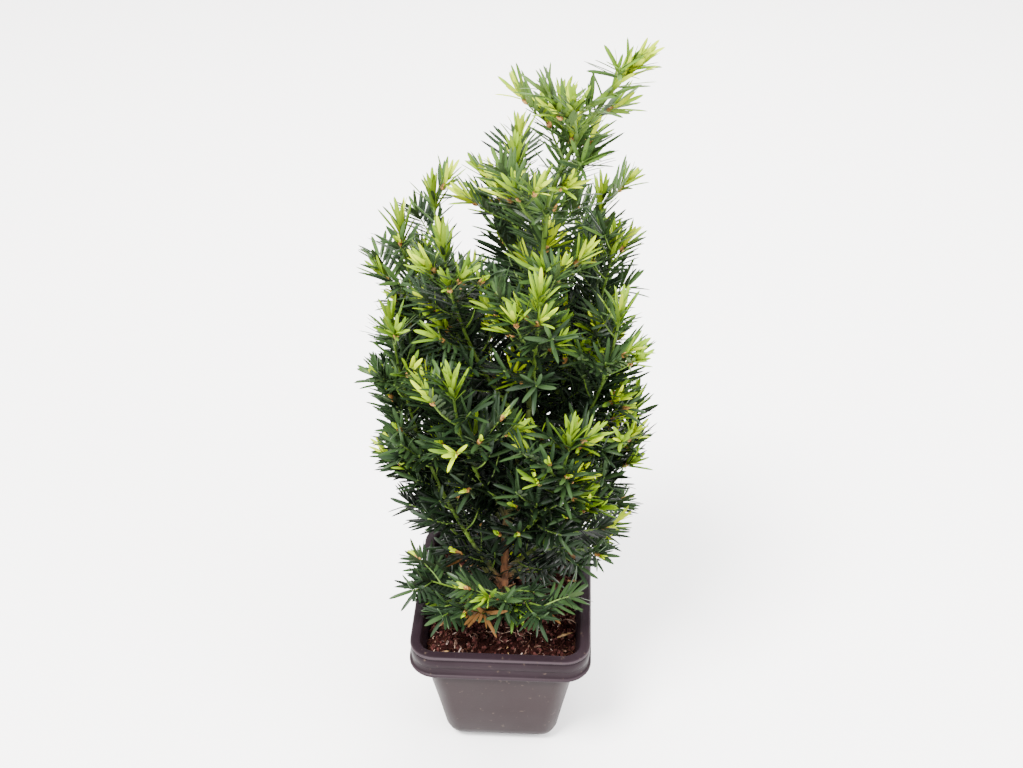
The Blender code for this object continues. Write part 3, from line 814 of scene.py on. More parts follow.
def noise_on(tree, scale, detail=4.0, stretch=(1, 1, 1)):
    """Noise on the object's own coordinates."""
    place = node_in(tree, "ShaderNodeTexCoord")
    mapping = node_in(tree, "ShaderNodeMapping", {
        "Vector": place.outputs["Object"], "Scale": stretch})
    texture = node_in(tree, "ShaderNodeTexNoise", {
        "Vector": mapping.outputs["Vector"], "Scale": scale, "Detail": detail})
    return texture.outputs["Fac"]


def attribute_of(tree, name):
    return node_in(tree, "ShaderNodeAttribute", attribute_name=name).outputs["Fac"]


def ramp_of(tree, source, stops):
    """A colour ramp with these (position, colour) stops."""
    ramp = node_in(tree, "ShaderNodeValToRGB", {"Fac": source})
    elements = ramp.color_ramp.elements
    for element, (position, colour) in zip(elements, (stops[0], stops[-1])):
        element.position, element.color = position, (*colour, 1)
    for position, colour in stops[1:-1]:
        elements.new(position).color = (*colour, 1)
    return ramp.outputs["Color"]


def mix_of(tree, factor, first, second, blend_type="MIX"):
    """Two colours mixed by a factor; each may be a value or a socket."""
    mix = node_in(tree, "ShaderNodeMix", {0: factor, 6: first, 7: second}, data_type="RGBA",
                  blend_type=blend_type)
    return mix.outputs[2]


def range_of(tree, source, low, high, start=0.0, end=1.0):
    """Maps a factor from start..end to low..high."""
    node = node_in(tree, "ShaderNodeMapRange", {
        "Value": source, "From Min": start, "From Max": end, "To Min": low, "To Max": high})
    return node.outputs["Result"]


def bump_from(tree, shader, height, strength, distance):
    bump = node_in(tree, "ShaderNodeBump", {
        "Height": height, "Strength": strength, "Distance": distance})
    feed(tree, shader, {"Normal": bump.outputs["Normal"]})


def needle_finish(name, colour, roughness, gloss):
    """A waxy needle: one plain colour, with a fine unevenness in its gloss."""
    material, tree, shader = finish_named(name, colour, roughness, gloss)
    grain = noise_on(tree, 900)
    feed(tree, shader, {"Roughness": range_of(tree, grain, roughness - 0.08, roughness + 0.12)})
    bump_from(tree, shader, grain, strength=0.15, distance=0.0001)
    return material


def shoot_finish():
    """Ribbed young shoots, green with a yellow cast."""
    material, tree, shader = finish_named("green_shoot", (0.07, 0.12, 0.02), 0.5, specular=0.35)
    feed(tree, shader, {"Base Color": ramp_of(tree, noise_on(tree, 120), (
        (0.3, (0.048, 0.098, 0.011)), (0.7, (0.108, 0.182, 0.019))))})
    bump_from(tree, shader, noise_on(tree, 1500), strength=0.3, distance=0.0001)
    return material


def bark_finish():
    """Flaking orange-brown bark at the foot that turns red-brown, then green on younger wood."""
    material, tree, shader = finish_named("yew_bark", (0.2, 0.1, 0.05), 0.8)
    youth = ramp_of(tree, attribute_of(tree, "youth"), (
        (0.0, (0.155, 0.063, 0.023)), (0.18, (0.130, 0.054, 0.020)), (0.30, (0.098, 0.052, 0.016)),
        (0.42, (0.066, 0.070, 0.014)), (0.9, (0.058, 0.105, 0.009))))
    flakes = noise_on(tree, 420, 6.0, stretch=(1, 1, 0.35))
    dark = ramp_of(tree, flakes, ((0.35, (0.35, 0.32, 0.30)), (0.62, (1.25, 1.18, 1.1))))
    feed(tree, shader, {"Base Color": mix_of(tree, 1.0, youth, dark, "MULTIPLY")})
    bump_from(tree, shader, flakes, strength=0.5, distance=0.0003)
    return material


def pot_finish():
    """Recycled black-grey plastic: cloudy, finely pebbled, with dust and brown splashes; painted
    shade on the rim and inside, painted highlights on its edges, painted shadow and shade on the
    outer wall.
    """
    material, tree, shader = finish_named("nursery_plastic", (0.015, 0.010, 0.010), 0.45,
                                          specular=0.07)
    clouds = noise_on(tree, 28, 5.0)
    plain, rim = (ramp_of(tree, clouds, ((0.3, dark), (0.7, light))) for dark, light in (
        ((0.0138, 0.0080, 0.0090), (0.0180, 0.0108, 0.0121)),
        ((0.0082, 0.0045, 0.0062), (0.0142, 0.0084, 0.0114))))
    # Painted shade, painted highlights and painted shadow, each mixed in by its attribute
    for place, tone in (("shaded", rim), ("worn", (0.0340, 0.0245, 0.0290)),
                        ("grimy", (0.0058, 0.0026, 0.0038))):
        plain = mix_of(tree, attribute_of(tree, place), plain, tone)
    specks = ramp_of(tree, noise_on(tree, 330, 3.0), ((0.66, (0, 0, 0)), (0.72, (1, 1, 1))))
    feed(tree, shader, {"Base Color": mix_of(tree, specks, plain, (0.040, 0.028, 0.023)),
                        "Roughness": range_of(tree, clouds, 0.36, 0.52, start=0.3, end=0.7)})
    bump_from(tree, shader, noise_on(tree, 1400, 2.0), strength=0.12, distance=0.0002)
    return material


def compost_finish(name):
    """Coir compost: mottled between two browns, rough and matt."""
    dark, light, scale = COMPOST_TONES[name]
    material, tree, shader = finish_named(name, dark, 0.95, specular=0.05)
    mottle = ramp_of(tree, noise_on(tree, scale, 6.0), ((0.35, dark), (0.65, light)))
    feed(tree, shader, {"Base Color": mottle})
    bump_from(tree, shader, noise_on(tree, scale * 3, 4.0), strength=0.7, distance=0.0006)
    return material


def bud_finish():
    """Dry bud scales, tan at their edges and rust-brown between."""
    material, tree, shader = finish_named("bud_scale", (0.30, 0.15, 0.05), 0.65, specular=0.25)
    feed(tree, shader, {"Base Color": ramp_of(tree, noise_on(tree, 700), (
        (0.38, (0.150, 0.056, 0.012)), (0.60, (0.430, 0.235, 0.070))))})
    return material


def floor_finish():
    material, tree, shader = finish_named("studio_floor", (0.96, 0.95, 0.945), 0.7, specular=0.2)
    bump_from(tree, shader, noise_on(tree, 300, 2.0), strength=0.02, distance=0.001)
    return material


# Shapes


def object_from(name, mesh):
    piece = bpy.data.objects.new(name, mesh)
    bpy.context.scene.collection.objects.link(piece)
    return piece


def mesh_from(bm, name):
    bmesh.ops.recalc_face_normals(bm, faces=bm.faces)
    mesh = bpy.data.meshes.new(name)
    bm.to_mesh(mesh)
    bm.free()
    return mesh


def settled(piece):
    """The piece with its modifiers applied, as a plain mesh at the origin."""
    graph = bpy.context.evaluated_depsgraph_get()
    mesh = bpy.data.meshes.new_from_object(piece.evaluated_get(graph), depsgraph=graph)
    name = piece.name
    bpy.data.objects.remove(piece, do_unlink=True)
    mesh.name = name
    return object_from(name, mesh)


def register(piece, nodes):
    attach(piece, "root")
    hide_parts(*nodes)


def loft(bm, loops):
    """Joins closed loops of equal count by quads, and closes the first and last with a face."""
    rings = [[bm.verts.new(p) for p in loop] for loop in loops]
    for low, high in zip(rings, rings[1:]):
        for k in range(len(low)):
            n = (k + 1) % len(low)
            bm.faces.new((low[k], low[n], high[n], high[k]))
    bm.faces.new(rings[0])
    bm.faces.new(rings[-1])


def rounded_loop(half, corner, z, count=8):
    """A level rounded rectangle, anticlockwise from the +X side."""
    corner = max(0.0005, min(corner, min(half) * 0.98))
    loop = []
    for turn, (sx, sy) in enumerate(CORNERS):
        for k in range(count + 1):
            a = math.radians(90 * (turn + k / count))
            loop.append(Vector((sx * (half[0] - corner) + corner * math.cos(a),
                                sy * (half[1] - corner) + corner * math.sin(a), z)))
    return loop


def pot_half(height, out=0.0):
    """Half the inside of the pot at a height, both ways, or this much further out."""
    share = (height - POT_WALL) / (POT_HEIGHT - POT_WALL)
    return [0.5 * (f + (m - f) * share) + out for f, m in zip(POT_FOOT, POT_MOUTH)]


def outside_by(p, half, corner):
    """How far a point stands outside a level rounded rectangle."""
    x = max(0.0, abs(p.x) - half[0] + corner)
    y = max(0.0, abs(p.y) - half[1] + corner)
    return math.hypot(x, y) - corner


def shade_of_pot(p):
    """Painted shade: 1 on the rim and inside, which are painted darker; 0 on the outer walls."""
    inside = outside_by(p, pot_half(p.z), POT_CORNER) < POT_WALL * 0.5
    return 1.0 if p.z > SHADED_FROM or inside else 0.0


def highlight_of_pot(p):
    """Painted highlight: 1 on the rim's edges that stand proud, painted pale where they catch the
    light.
    """
    drop = POT_HEIGHT - p.z
    out = outside_by(p, pot_half(POT_HEIGHT), POT_CORNER)
    for least_out, least_drop, most_drop, glint in HIGHLIT_EDGES:
        if out > least_out and least_drop < drop < most_drop:
            return glint
    return 0.0


def wall_shade_of_pot(p):
    """Painted shade on the outer wall: a painted shadow under the rim, then darker towards its
    foot.
    """
    if p.z > RIM_SHADOW_FROM:
        return 0.0 if p.z > SHADED_FROM else SHADOW_UNDER_RIM
    return SHADE_AT_FOOT * max(0.0, 1 - p.z / FOOT_SHADE_FROM)


def pot_loops():
    """The cell as one wall: inner floor, inner side, rolled rim with its groove, outer side."""
    inner, outer = [], []
    narrower, smallest = FOOT_CORNER
    for k in range(FOOT_STEPS):
        a = math.radians(90 * k / (FOOT_STEPS - 1))
        z = POT_WALL + POT_CORNER * (1 - math.cos(a))
        inset = POT_CORNER * (1 - math.sin(a))
        corner = max(smallest, POT_CORNER - inset * narrower)
        wall = POT_WALL * math.sin(a)
        inner.append(rounded_loop(pot_half(z, -inset), corner, z))
        outer.append(rounded_loop(pot_half(z, wall - inset), corner, z - POT_WALL * math.cos(a)))
    for share in WALL_SHARES:
        z = POT_HEIGHT * share
        inner.append(rounded_loop(pot_half(z), POT_CORNER, z))
        outer.append(rounded_loop(pot_half(z, POT_WALL * 1.01), POT_CORNER + POT_WALL, z))
    rim = [rounded_loop(pot_half(POT_HEIGHT, out), POT_CORNER + out, POT_HEIGHT + up)
           for out, up in RIM]
    root = POT_HEIGHT - RIM_ROOT
    rim.append(rounded_loop(pot_half(root, POT_WALL), POT_CORNER + POT_WALL, root))
    return [*inner, *rim, *reversed(outer)]


def make_pot(finish):
    """The pot, with its drain holes, and the painted shade, highlights and shadow on its plastic.
    """
    bm = bmesh.new()
    loft(bm, pot_loops())
    pot = object_from("pot_body", mesh_from(bm, "pot_body"))
    cutters = []
    for k, (sx, sy) in enumerate(CORNERS):
        hole = bmesh.new()
        bmesh.ops.create_cone(hole, cap_ends=True, segments=28, radius1=DRAIN_RADIUS,
                              radius2=DRAIN_RADIUS, depth=POT_HEIGHT / 8)
        bmesh.ops.translate(hole, verts=hole.verts,
                            vec=(sx * DRAIN_FROM_MIDDLE[0], sy * DRAIN_FROM_MIDDLE[1], 0))
        cutters.append(object_from(f"drain_{k}", mesh_from(hole, "drain")))
        cut = pot.modifiers.new(f"drain_{k}", "BOOLEAN")
        cut.operation = "DIFFERENCE"
        cut.object = cutters[-1]
    pot = settled(pot)
    for cutter in cutters:
        bpy.data.objects.remove(cutter, do_unlink=True)
    pot.data.materials.clear()
    pot.data.materials.append(finish)
    # Where the painted shade, painted highlights and painted shadow fall, at each point
    tones = {"shaded": shade_of_pot, "worn": highlight_of_pot, "grimy": wall_shade_of_pot}
    for name, value_at in tones.items():
        tone = pot.data.attributes.new(name, "FLOAT", "POINT")
        tone.data.foreach_set("value", [value_at(v.co) for v in pot.data.vertices])
    pot.data.shade_smooth()
    pot.data.set_sharp_from_angle(angle=math.radians(SHARP_ANGLE))
    register(pot, ["pot"])


def lumps(x, y):
    """How far the compost's surface stands above or below its even mound."""
    return sum(height * noise.noise(Vector((x * fine, y * fine, offset)))
               for fine, offset, height in LUMPS)


def make_compost_bed():
    """The root ball, with a lumpy top that rises to the stem and falls away at the pot's sides."""
    width_at, edge = BED_EDGE
    loops = []
    for z in BED_HEIGHTS:
        half = pot_half(z, -COMPOST_GAP - max(0.0, POT_CORNER - z) * BED_FOOT_INSET)
        loops.append(rounded_loop(half, POT_CORNER - COMPOST_GAP, z, BED_CORNER_STEPS))
    for k in range(BED_RINGS):
        share = 1 - k / BED_RINGS
        half = [h * share for h in pot_half(width_at, -COMPOST_GAP)]
        loop = rounded_loop(half, POT_CORNER * share + BED_LEAST_CORNER, 0, BED_CORNER_STEPS)
        mound = edge + (COMPOST_TOP - edge) * (1 - share**3)
        lumpiness = min(1, (1 - share) * BED_LUMPS_GROW + BED_EDGE_LUMPS)
        for p in loop:
            p.z = mound + lumps(p.x, p.y) * lumpiness
        loops.append(loop)
    bm = bmesh.new()
    loft(bm, loops)
    bmesh.ops.remove_doubles(bm, verts=bm.verts, dist=0.00005)
    mesh = mesh_from(bm, "compost_bed")
    top = mesh.attributes.new("top", "BOOLEAN", "POINT")
    top.data.foreach_set("value", [v.co.z > BED_STREWN_FROM for v in mesh.vertices])
    mesh.materials.append(compost_finish("compost_bed"))
    mesh.shade_smooth()
    return object_from("compost_bed", mesh)


# Node trees that place small forms


def tree_named(name, inputs):
    """A new Geometry Nodes tree, its inputs' identifiers, and the sockets that give them."""
    tree = bpy.data.node_groups.new(name, "GeometryNodeTree")
    ids = {}
    for label, kind in inputs.items():
        socket = tree.interface.new_socket(label, in_out="INPUT", socket_type="NodeSocket" + kind)
        ids[label] = socket.identifier
    tree.interface.new_socket("Mesh", in_out="OUTPUT", socket_type="NodeSocketGeometry")
    return tree, ids, tree.nodes.new("NodeGroupInput").outputs


def named_attribute(tree, name, kind):
    node = node_in(tree, "GeometryNodeInputNamedAttribute", {"Name": name}, data_type=kind)
    return node.outputs["Attribute"]


def forms_placed(tree, collection, inputs):
    """A form of the collection on each point, picked, turned and scaled by these inputs."""
    forms = node_in(tree, "GeometryNodeCollectionInfo", {
        "Collection": collection, "Separate Children": True, "Reset Children": True})
    place = node_in(tree, "GeometryNodeInstanceOnPoints", {
        "Instance": forms.outputs["Instances"], "Pick Instance": True, **inputs})
    return place.outputs["Instances"]


def close_tree(tree, instances, paints):
    """Makes the instances one mesh, sets its materials one over the other, and ends the tree."""
    mesh = node_in(tree, "GeometryNodeRealizeInstances", {"Geometry": instances})
    for paint in paints:
        mesh = node_in(tree, "GeometryNodeSetMaterial", {
            "Geometry": mesh.outputs["Geometry"], **paint})
    node_in(tree, "NodeGroupOutput", {"Mesh": mesh.outputs["Geometry"]})


def scatter_tree():
    """Strews a collection of small forms over the top of a bed, then makes them one mesh."""
    tree, ids, given = tree_named("strewn_compost", {
        "Bed": "Geometry", "Forms": "Collection", "Density": "Float", "Smallest": "Float",
        "Largest": "Float", "Tilt": "Float", "Lift": "Float", "Seed": "Int", "Finish": "Material"})
    strewn = node_in(tree, "GeometryNodeDistributePointsOnFaces", {
        "Mesh": given["Bed"], "Selection": named_attribute(tree, "top", "BOOLEAN"),
        "Density": given["Density"], "Seed": given["Seed"]})
    up = node_in(tree, "ShaderNodeCombineXYZ", {"Z": given["Lift"]})
    lifted = node_in(tree, "GeometryNodeSetPosition", {
        "Geometry": strewn.outputs["Points"], "Offset": up.outputs["Vector"]})
    less = node_in(tree, "ShaderNodeMath", {0: given["Tilt"], 1: -1.0}, operation="MULTIPLY")
    low = node_in(tree, "ShaderNodeCombineXYZ", {axis: less.outputs["Value"] for axis in "XY"})
    high = node_in(tree, "ShaderNodeCombineXYZ", {
        "X": given["Tilt"], "Y": given["Tilt"], "Z": math.tau})
    turn = node_in(tree, "FunctionNodeRandomValue", {
        "Min": low.outputs["Vector"], "Max": high.outputs["Vector"], "Seed": given["Seed"]},
        data_type="FLOAT_VECTOR")
    size = node_in(tree, "FunctionNodeRandomValue", {
        "Min": given["Smallest"], "Max": given["Largest"], "Seed": given["Seed"]})
    placed = forms_placed(tree, given["Forms"], {
        "Points": lifted.outputs["Geometry"], "Rotation": turn.outputs["Value"],
        "Scale": size.outputs["Value"]})
    close_tree(tree, placed, [{"Material": given["Finish"]}])
    return tree, ids


def needle_tree():
    """Sets a needle on every point, turned by its direction and upper side, as one mesh."""
    tree, ids, given = tree_named("needles_on_shoots", {
        "Roots": "Geometry", "Forms": "Collection", "Upper side": "Material",
        "Underside": "Material"})
    turn = node_in(tree, "FunctionNodeAxesToRotation", {
        "Primary Axis": named_attribute(tree, "way", "FLOAT_VECTOR"),
        "Secondary Axis": named_attribute(tree, "upper", "FLOAT_VECTOR")},
        primary_axis="X", secondary_axis="Z")
    placed = forms_placed(tree, given["Forms"], {
        "Points": given["Roots"], "Instance Index": named_attribute(tree, "form", "INT"),
        "Rotation": turn.outputs["Rotation"],
        "Scale": named_attribute(tree, "size", "FLOAT_VECTOR")})
    close_tree(tree, placed, [{"Material": given["Upper side"]}, {
        "Material": given["Underside"], "Selection": named_attribute(tree, "under", "BOOLEAN")}])
    return tree, ids


def grown(name, mesh, tree, ids, values):
    """The mesh put through a node tree with these inputs, as a plain mesh."""
    piece = object_from(name, mesh)
    nodes = piece.modifiers.new("nodes", "NODES")
    nodes.node_group = tree
    for label, value in values.items():
        nodes[ids[label]] = value
    return settled(piece)


def forms_in(name, meshes):
    """A hidden collection of small forms for the node trees to place."""
    group = bpy.data.collections.new(name)
    for k, mesh in enumerate(meshes):
        group.objects.link(bpy.data.objects.new(f"{name}_{k}", mesh))
    return group


def drop_forms(group):
    for form in list(group.objects):
        bpy.data.objects.remove(form, do_unlink=True)
    bpy.data.collections.remove(group)


# What lies on the compost


def crumb_mesh(rng, stretch):
    """An irregular crumb of compost."""
    bm = bmesh.new()
    bmesh.ops.create_icosphere(bm, subdivisions=1, radius=CRUMB_SIZE)
    for vert in bm.verts:
        vert.co *= rng.uniform(*CRUMB_ROUGHNESS)
        vert.co.x *= stretch
        vert.co.z *= CRUMB_FLATNESS
    return mesh_from(bm, "crumb")


def chip_mesh(rng, length, width):
    """A flat splinter of husk, broken at both ends."""
    bm = bmesh.new()
    bmesh.ops.create_cube(bm, size=1)
    along = [e for e in bm.edges if abs((e.verts[0].co - e.verts[1].co).x) > 0.5]
    bmesh.ops.subdivide_edges(bm, edges=along, cuts=2)
    for vert in bm.verts:
        vert.co.x = vert.co.x * length + rng.uniform(-CHIP_RAGGED_END, CHIP_RAGGED_END) * length
        vert.co.y = vert.co.y * width * rng.uniform(*CHIP_RAGGED_SIDE)
        vert.co.z = vert.co.z * width * CHIP_FLATNESS + rng.uniform(-CHIP_WARP, CHIP_WARP) * width
    return mesh_from(bm, "chip")


def fibre_mesh(rng, lengths, radius, bends, wander):
    """A thin wandering fibre that lies roughly level, as a closed tube."""
    length = rng.uniform(*lengths)
    points = [Vector((0, 0, 0))]
    heading = 0.0
    for _ in range(bends):
        heading += rng.uniform(-wander, wander)
        lift = rng.uniform(-FIBRE_LIFT, FIBRE_LIFT)
        step = Vector((math.cos(heading), math.sin(heading), lift)) * length / bends
        points.append(points[-1] + step)
    middle = sum(points, Vector()) / len(points)
    points = rounded([p - middle for p in points], length / bends / 2)
    radii = [radius * (1 - FIBRE_TAPER * k / len(points)) for k in range(len(points))]
    return tube_mesh("fibre", [(points, radii)], 0)


def fallen_needle(length, width):
    """A dry needle about its own middle, to lie on the compost."""
    mesh = needle_mesh(DROOPS[1], SICKLE)
    lying = Matrix.Translation((-length / 2, 0, 0))
    mesh.transform(lying @ Matrix.Diagonal((length, width, NEEDLE_THICKNESS, 1)))
    return mesh


def tube_mesh(name, tubes, resolution):
    """Closed tapering tubes, each from its points and radii, as one mesh."""
    curve = bpy.data.curves.new(name, "CURVE")
    curve.dimensions = "3D"
    curve.bevel_depth = 1.0
    curve.bevel_resolution = resolution
    curve.use_fill_caps = True
    for points, radii in tubes:
        spline = curve.splines.new("POLY")
        spline.points.add(len(points) - 1)
        for k, point in enumerate(points):
            spline.points[k].co = (*point, 1)
            spline.points[k].radius = radii[k]
    draft = object_from(name + "_draft", curve)
    graph = bpy.context.evaluated_depsgraph_get()
    mesh = bpy.data.meshes.new_from_object(draft.evaluated_get(graph))
    bpy.data.objects.remove(draft, do_unlink=True)
    bm = bmesh.new()
    bm.from_mesh(mesh)
    bpy.data.meshes.remove(mesh)
    bmesh.ops.remove_doubles(bm, verts=bm.verts, dist=1e-6)
    return mesh_from(bm, name)


def make_compost():
    """The bed, and what lies on it: crumbs, chips of husk, pale roots, fibres, fallen needles."""
    bed = make_compost_bed()
    rng = random.Random(COMPOST_SEED)
    makers = {
        "crumb": lambda: crumb_mesh(rng, rng.uniform(*CRUMB_STRETCH)),
        "chip": lambda: chip_mesh(rng, rng.uniform(*CHIP_LENGTH), rng.uniform(*CHIP_WIDTH)),
        "hair": lambda: fibre_mesh(rng, *HAIR),
        "root": lambda: fibre_mesh(rng, *ROOT),
        "fallen": lambda: fallen_needle(rng.uniform(*NEEDLE_LENGTH) * FALLEN_SHORTER,
                                        NEEDLE_WIDTH[0]),
    }
    forms = {kind: [make() for _ in range(FORM_COUNTS[kind])] for kind, make in makers.items()}
    tree, ids = scatter_tree()
    pieces = [bed]
    for name, form, density, smallest, largest, tilt, lift, seed, tone in STREWN:
        group = forms_in(name + "_forms", forms[form])
        pieces.append(grown(name, bed.data.copy(), tree, ids, {
            "Forms": group, "Density": float(density), "Smallest": smallest, "Largest": largest,
            "Tilt": tilt, "Lift": lift, "Seed": seed, "Finish": compost_finish(tone)}))
        drop_forms(group)
    for piece in pieces:
        register(piece, ["compost"])


# Bark and green wood


def swept_rings(path, radius_at, sides, relief):
    """Rings of points round a smooth path, each pushed in or out by the relief."""
    run = lengths_along(path)
    heading = (path[1] - path[0]).normalized()
    side = heading.orthogonal().normalized()
    rings = []
    for k, p in enumerate(path):
        ahead = path[min(k + 1, len(path) - 1)]
        behind = path[max(k - 1, 0)]
        heading = (ahead - behind).normalized()
        side = (side - heading * side.dot(heading)).normalized()
        third = heading.cross(side)
        ring = []
        for n in range(sides):
            a = math.tau * n / sides
            radius = radius_at(run[k], run[-1]) + relief(a, run[k], p)
            ring.append(p + leaning(side, third, a) * radius)
        rings.append(ring)
    return rings


def trunk_radius(at, total):
    plain = TRUNK_RADII[0] + (TRUNK_RADII[1] - TRUNK_RADII[0]) * at / total
    flare = max(0.0, 1 - at / ROOT_FLARE_HEIGHT)
    return plain + (ROOT_FLARE_RADIUS - TRUNK_RADII[0]) * flare**2


def bough_radius(at, total):
    swell, over = BOUGH_SWELL
    swell *= max(0.0, 1 - at / over) ** 2
    return BOUGH_RADII[0] + (BOUGH_RADII[1] - BOUGH_RADII[0]) * at / total + swell


def youth_at(p):
    """0 on the old wood at the foot, 1 on this year's green wood."""
    return max(0.0, min(1.0, (p.z - COMPOST_TOP) / YOUNG_FROM))


def grain_at(p, across_stem, along_stem, offset):
    """Noise that is drawn out along an upright stem."""
    return noise.noise(Vector((p.x * across_stem, p.y * across_stem, p.z * along_stem + offset)))


def bark_relief(strength, buttressed):
    """Long flakes and ribs: rougher on old wood, ribbed by the needles' bases on young wood."""
    def relief(angle, at, p):
        old = 1 - youth_at(p)
        rib = math.cos(RIBS[0] * angle + at * RIBS[1]) * (1 - old) * 0.5
        buttress = math.cos(BUTTRESSES[0] * angle + BUTTRESSES[1]) * buttressed
        buttress *= max(0.0, 1 - at / BUTTRESS_HEIGHT)
        return strength * (FLAKE_DEPTH * grain_at(p, *FLAKES) * (FLAKES_ON_YOUNG + old)
                           + BUMP_DEPTH * grain_at(p, *BUMPS) + RIB_DEPTH * rib
                           + BUTTRESS_DEPTH * buttress)
    return relief


def make_bark(trunk, paths, finish):
    """One mesh for trunk and boughs, with the bark's relief in it."""
    sunk = trunk[0] - Vector((0, 0, SUNK))
    limbs = [([sunk, *trunk[1:]], trunk_radius, *TRUNK_RINGS)]
    limbs += [(cut_path(paths[limb.name], SUNK, limb.bare + GAP), bough_radius, *BOUGH_RINGS)
              for limb in LIMBS]
    bm = bmesh.new()
    youth = []
    for path, radius_at, step, sides, strength, younger in limbs:
        relief = bark_relief(strength, radius_at is trunk_radius)
        rings = swept_rings(rounded(path, step), radius_at, sides, relief)
        loft(bm, rings)
        for k, ring in enumerate(rings):
            youth += [min(1.0, youth_at(p) + younger * k / len(rings)) for p in ring]
    mesh = mesh_from(bm, "bark")
    attribute = mesh.attributes.new("youth", "FLOAT", "POINT")
    attribute.data.foreach_set("value", youth)
    mesh.materials.append(finish)
    mesh.shade_smooth()
    register(object_from("bark", mesh), ["trunk", *BOUGHS])


def make_twigs(name, shoots, finish, resolution):
    tubes = []
    for shoot in shoots:
        path = rounded(shoot.path, TWIG_STEP)
        run = lengths_along(path)
        first, last = shoot.radii
        tubes.append((path, [first + (last - first) * at / run[-1] for at in run]))
    piece = object_from(name, tube_mesh(name, tubes, resolution))
    piece.data.materials.append(finish)
    piece.data.shade_smooth()
    register(piece, MASSES)


# Needles and buds


def needle_mesh(droop, sickle):
    """A needle along +X, one unit long and wide: a stalk, a raised midrib, and a short point."""
    bm = bmesh.new()
    rings = []
    tip_y = sickle * FORM_LENGTH / FORM_WIDTH
    tip_z = -droop * FORM_LENGTH / NEEDLE_THICKNESS
    for at, width in NEEDLE_STATIONS:
        y = tip_y * at**2
        z = tip_z * at**2
        half = 0.5 * width
        ridge = 0.5 * (0.35 + 0.65 * width)
        rings.append([bm.verts.new(p) for p in (
            (at, y + half, z), (at, y, z + ridge), (at, y - half, z), (at, y, z - ridge * 0.5))])
    tip = bm.verts.new((1.0, tip_y, tip_z))
    under = bm.faces.layers.bool.new("under")
    for low, high in zip(rings, [*rings[1:], None]):
        for k in range(4):
            n = (k + 1) % 4
            ahead = (high[n], high[k]) if high else (tip,)
            face = bm.faces.new((low[k], low[n], *ahead))
            face[under] = k >= 2
            face.smooth = True
    bm.faces.new(rings[0])
    for edge in bm.edges:
        along = abs((edge.verts[0].co - edge.verts[1].co).x) > 0.01
        edge.smooth = not along
    return mesh_from(bm, "needle")


def roots_mesh(name, rows):
    """A point for every needle, which carries its direction, upper side, size and form."""
    roots, ways, uppers, lengths, widths, forms = zip(*rows)
    mesh = bpy.data.meshes.new(name)
    mesh.vertices.add(len(rows))
    mesh.vertices.foreach_set("co", np.array(roots).ravel())
    sizes = [(length, width, NEEDLE_THICKNESS) for length, width in zip(lengths, widths)]
    for attribute, kind, key, values in (
            ("way", "FLOAT_VECTOR", "vector", ways), ("upper", "FLOAT_VECTOR", "vector", uppers),
            ("size", "FLOAT_VECTOR", "vector", sizes), ("form", "INT", "value", forms)):
        data = mesh.attributes.new(attribute, kind, "POINT").data
        data.foreach_set(key, np.array(values).ravel())
    return mesh


def make_needles(rows_of):
    """One piece for each shade of needle."""
    tree, ids = needle_tree()
    forms = forms_in("needle_forms", [needle_mesh(droop, side) for droop in DROOPS
                                      for side in (SICKLE, -SICKLE)])
    for k, (shade, upper, under) in enumerate((*SHADES, WITHERED)):
        gloss = OLD_GLOSS + (NEW_GLOSS - OLD_GLOSS) * min(1, k / (len(SHADES) - 1))
        name = "needles_" + shade
        piece = grown(name, roots_mesh(name, rows_of[shade]), tree, ids, {
            "Forms": forms,
            "Upper side": needle_finish("needle_" + shade, upper, UPPER_ROUGHNESS, gloss),
            "Underside": needle_finish("needle_under_" + shade, under, UNDER_ROUGHNESS, gloss)})
        register(piece, MASSES)
    drop_forms(forms)


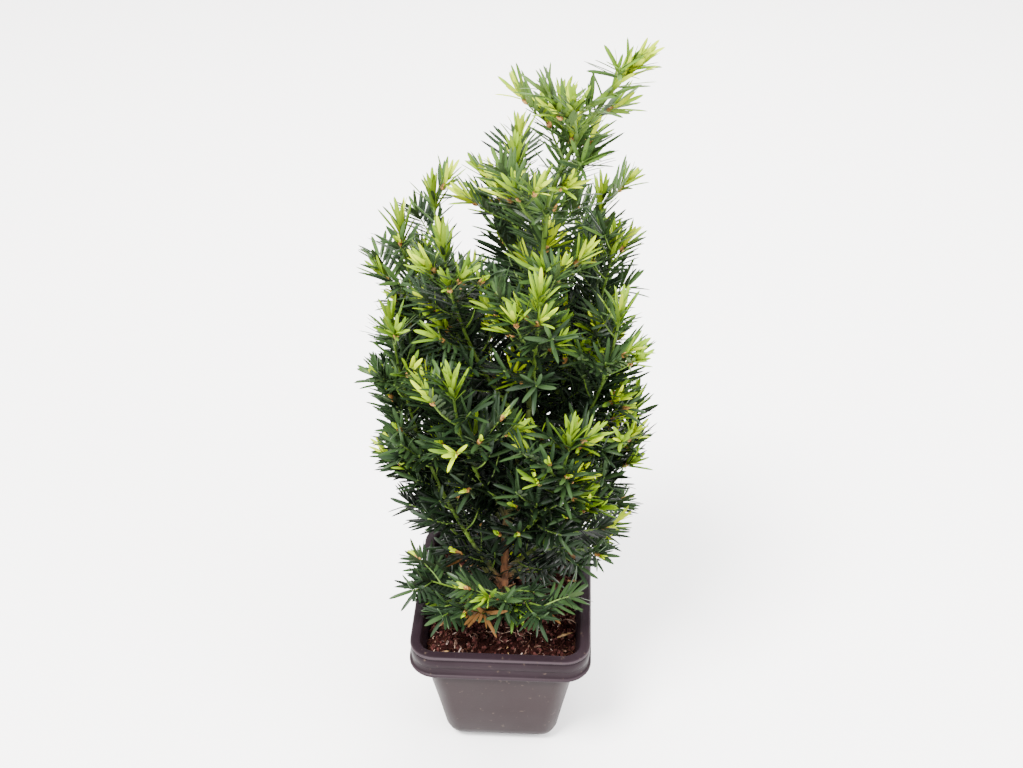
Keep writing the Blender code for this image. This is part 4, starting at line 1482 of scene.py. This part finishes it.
def make_buds(opened, closed, finish):
    """Papery brown scales that clasp the foot of each new tuft, and whole buds on other tips."""
    bm = bmesh.new()
    rng = random.Random(BUD_SEED)
    buds = [(shoot, TWIG_TUFT[2], OPENED_STRETCH) for shoot in opened]
    buds += [(shoot, CLOSED_BACK, CLOSED_STRETCH) for shoot in closed]
    for shoot, back, stretch in buds:
        heading = (shoot.path[-1] - shoot.path[-2]).normalized()
        foot = Matrix.Translation(shoot.path[-1] - heading * back)
        side = heading.orthogonal().normalized()
        upright = Matrix((side, heading.cross(side), heading)).transposed().to_4x4()
        for k in range(SCALES_ROUND):
            scale = bmesh.ops.create_icosphere(bm, subdivisions=1, radius=BUD_SCALE)["verts"]
            for vert in scale:
                vert.co.z = vert.co.z * stretch + BUD_SCALE
                vert.co.y *= SCALE_FLATNESS
                vert.co.y += SCALE_OFFSET
            angle = 360 / SCALES_ROUND * k + rng.uniform(-SCALE_TURN, SCALE_TURN)
            turn = Matrix.Rotation(math.radians(angle), 4, "Z")
            size = Matrix.Scale(rng.uniform(*SCALE_SIZES), 4)
            bmesh.ops.transform(bm, matrix=foot @ upright @ turn @ size, verts=scale)
    piece = object_from("bud_scales", mesh_from(bm, "bud_scales"))
    piece.data.materials.append(finish)
    register(piece, MASSES)


# Studio


def turned_to(place, target):
    return (Vector(target) - Vector(place)).to_track_quat("-Z", "Y").to_euler()


def make_studio():
    """A pale floor, soft lights from above, and the camera where the photo's stood."""
    bm = bmesh.new()
    bmesh.ops.create_grid(bm, x_segments=1, y_segments=1, size=FLOOR_SIZE)
    floor = object_from("studio_floor", mesh_from(bm, "studio_floor"))
    floor.data.materials.append(floor_finish())
    world = bpy.data.worlds.new("studio")
    world.use_nodes = True
    feed(world.node_tree, world.node_tree.nodes["Background"],
         {"Color": SKY[0], "Strength": SKY[1]})
    bpy.context.scene.world = world
    for name, place, target, size, power, colour in LIGHTS:
        light = bpy.data.lights.new(name, "AREA")
        light.shape = "DISK"
        light.size = size
        light.energy = power
        light.color = colour
        lamp = object_from(name, light)
        lamp.location = place
        lamp.rotation_euler = turned_to(place, target)
    camera = object_from("camera", bpy.data.cameras.new("camera"))
    camera.location = CAMERA_PLACE
    camera.rotation_euler = turned_to(CAMERA_PLACE, CAMERA_AIM)
    camera.data.lens = CAMERA_LENS
    camera.data.clip_start = 0.01
    bpy.context.scene.camera = camera


def main():
    trunk, leader, paths = grow_limbs()
    stems, twigs, twiglets, nearby = grow_shoots(trunk, leader, paths)
    needles = dress(stems, twigs, twiglets, trunk, paths, nearby)
    make_pot(pot_finish())
    make_compost()
    make_bark(trunk, paths, bark_finish())
    green = shoot_finish()
    make_twigs("green_stems", stems, green, resolution=2)
    make_twigs("green_twigs", twigs + twiglets, green, resolution=1)
    make_needles(needles.rows)
    make_buds(needles.opened, needles.closed, bud_finish())
    make_studio()


main()
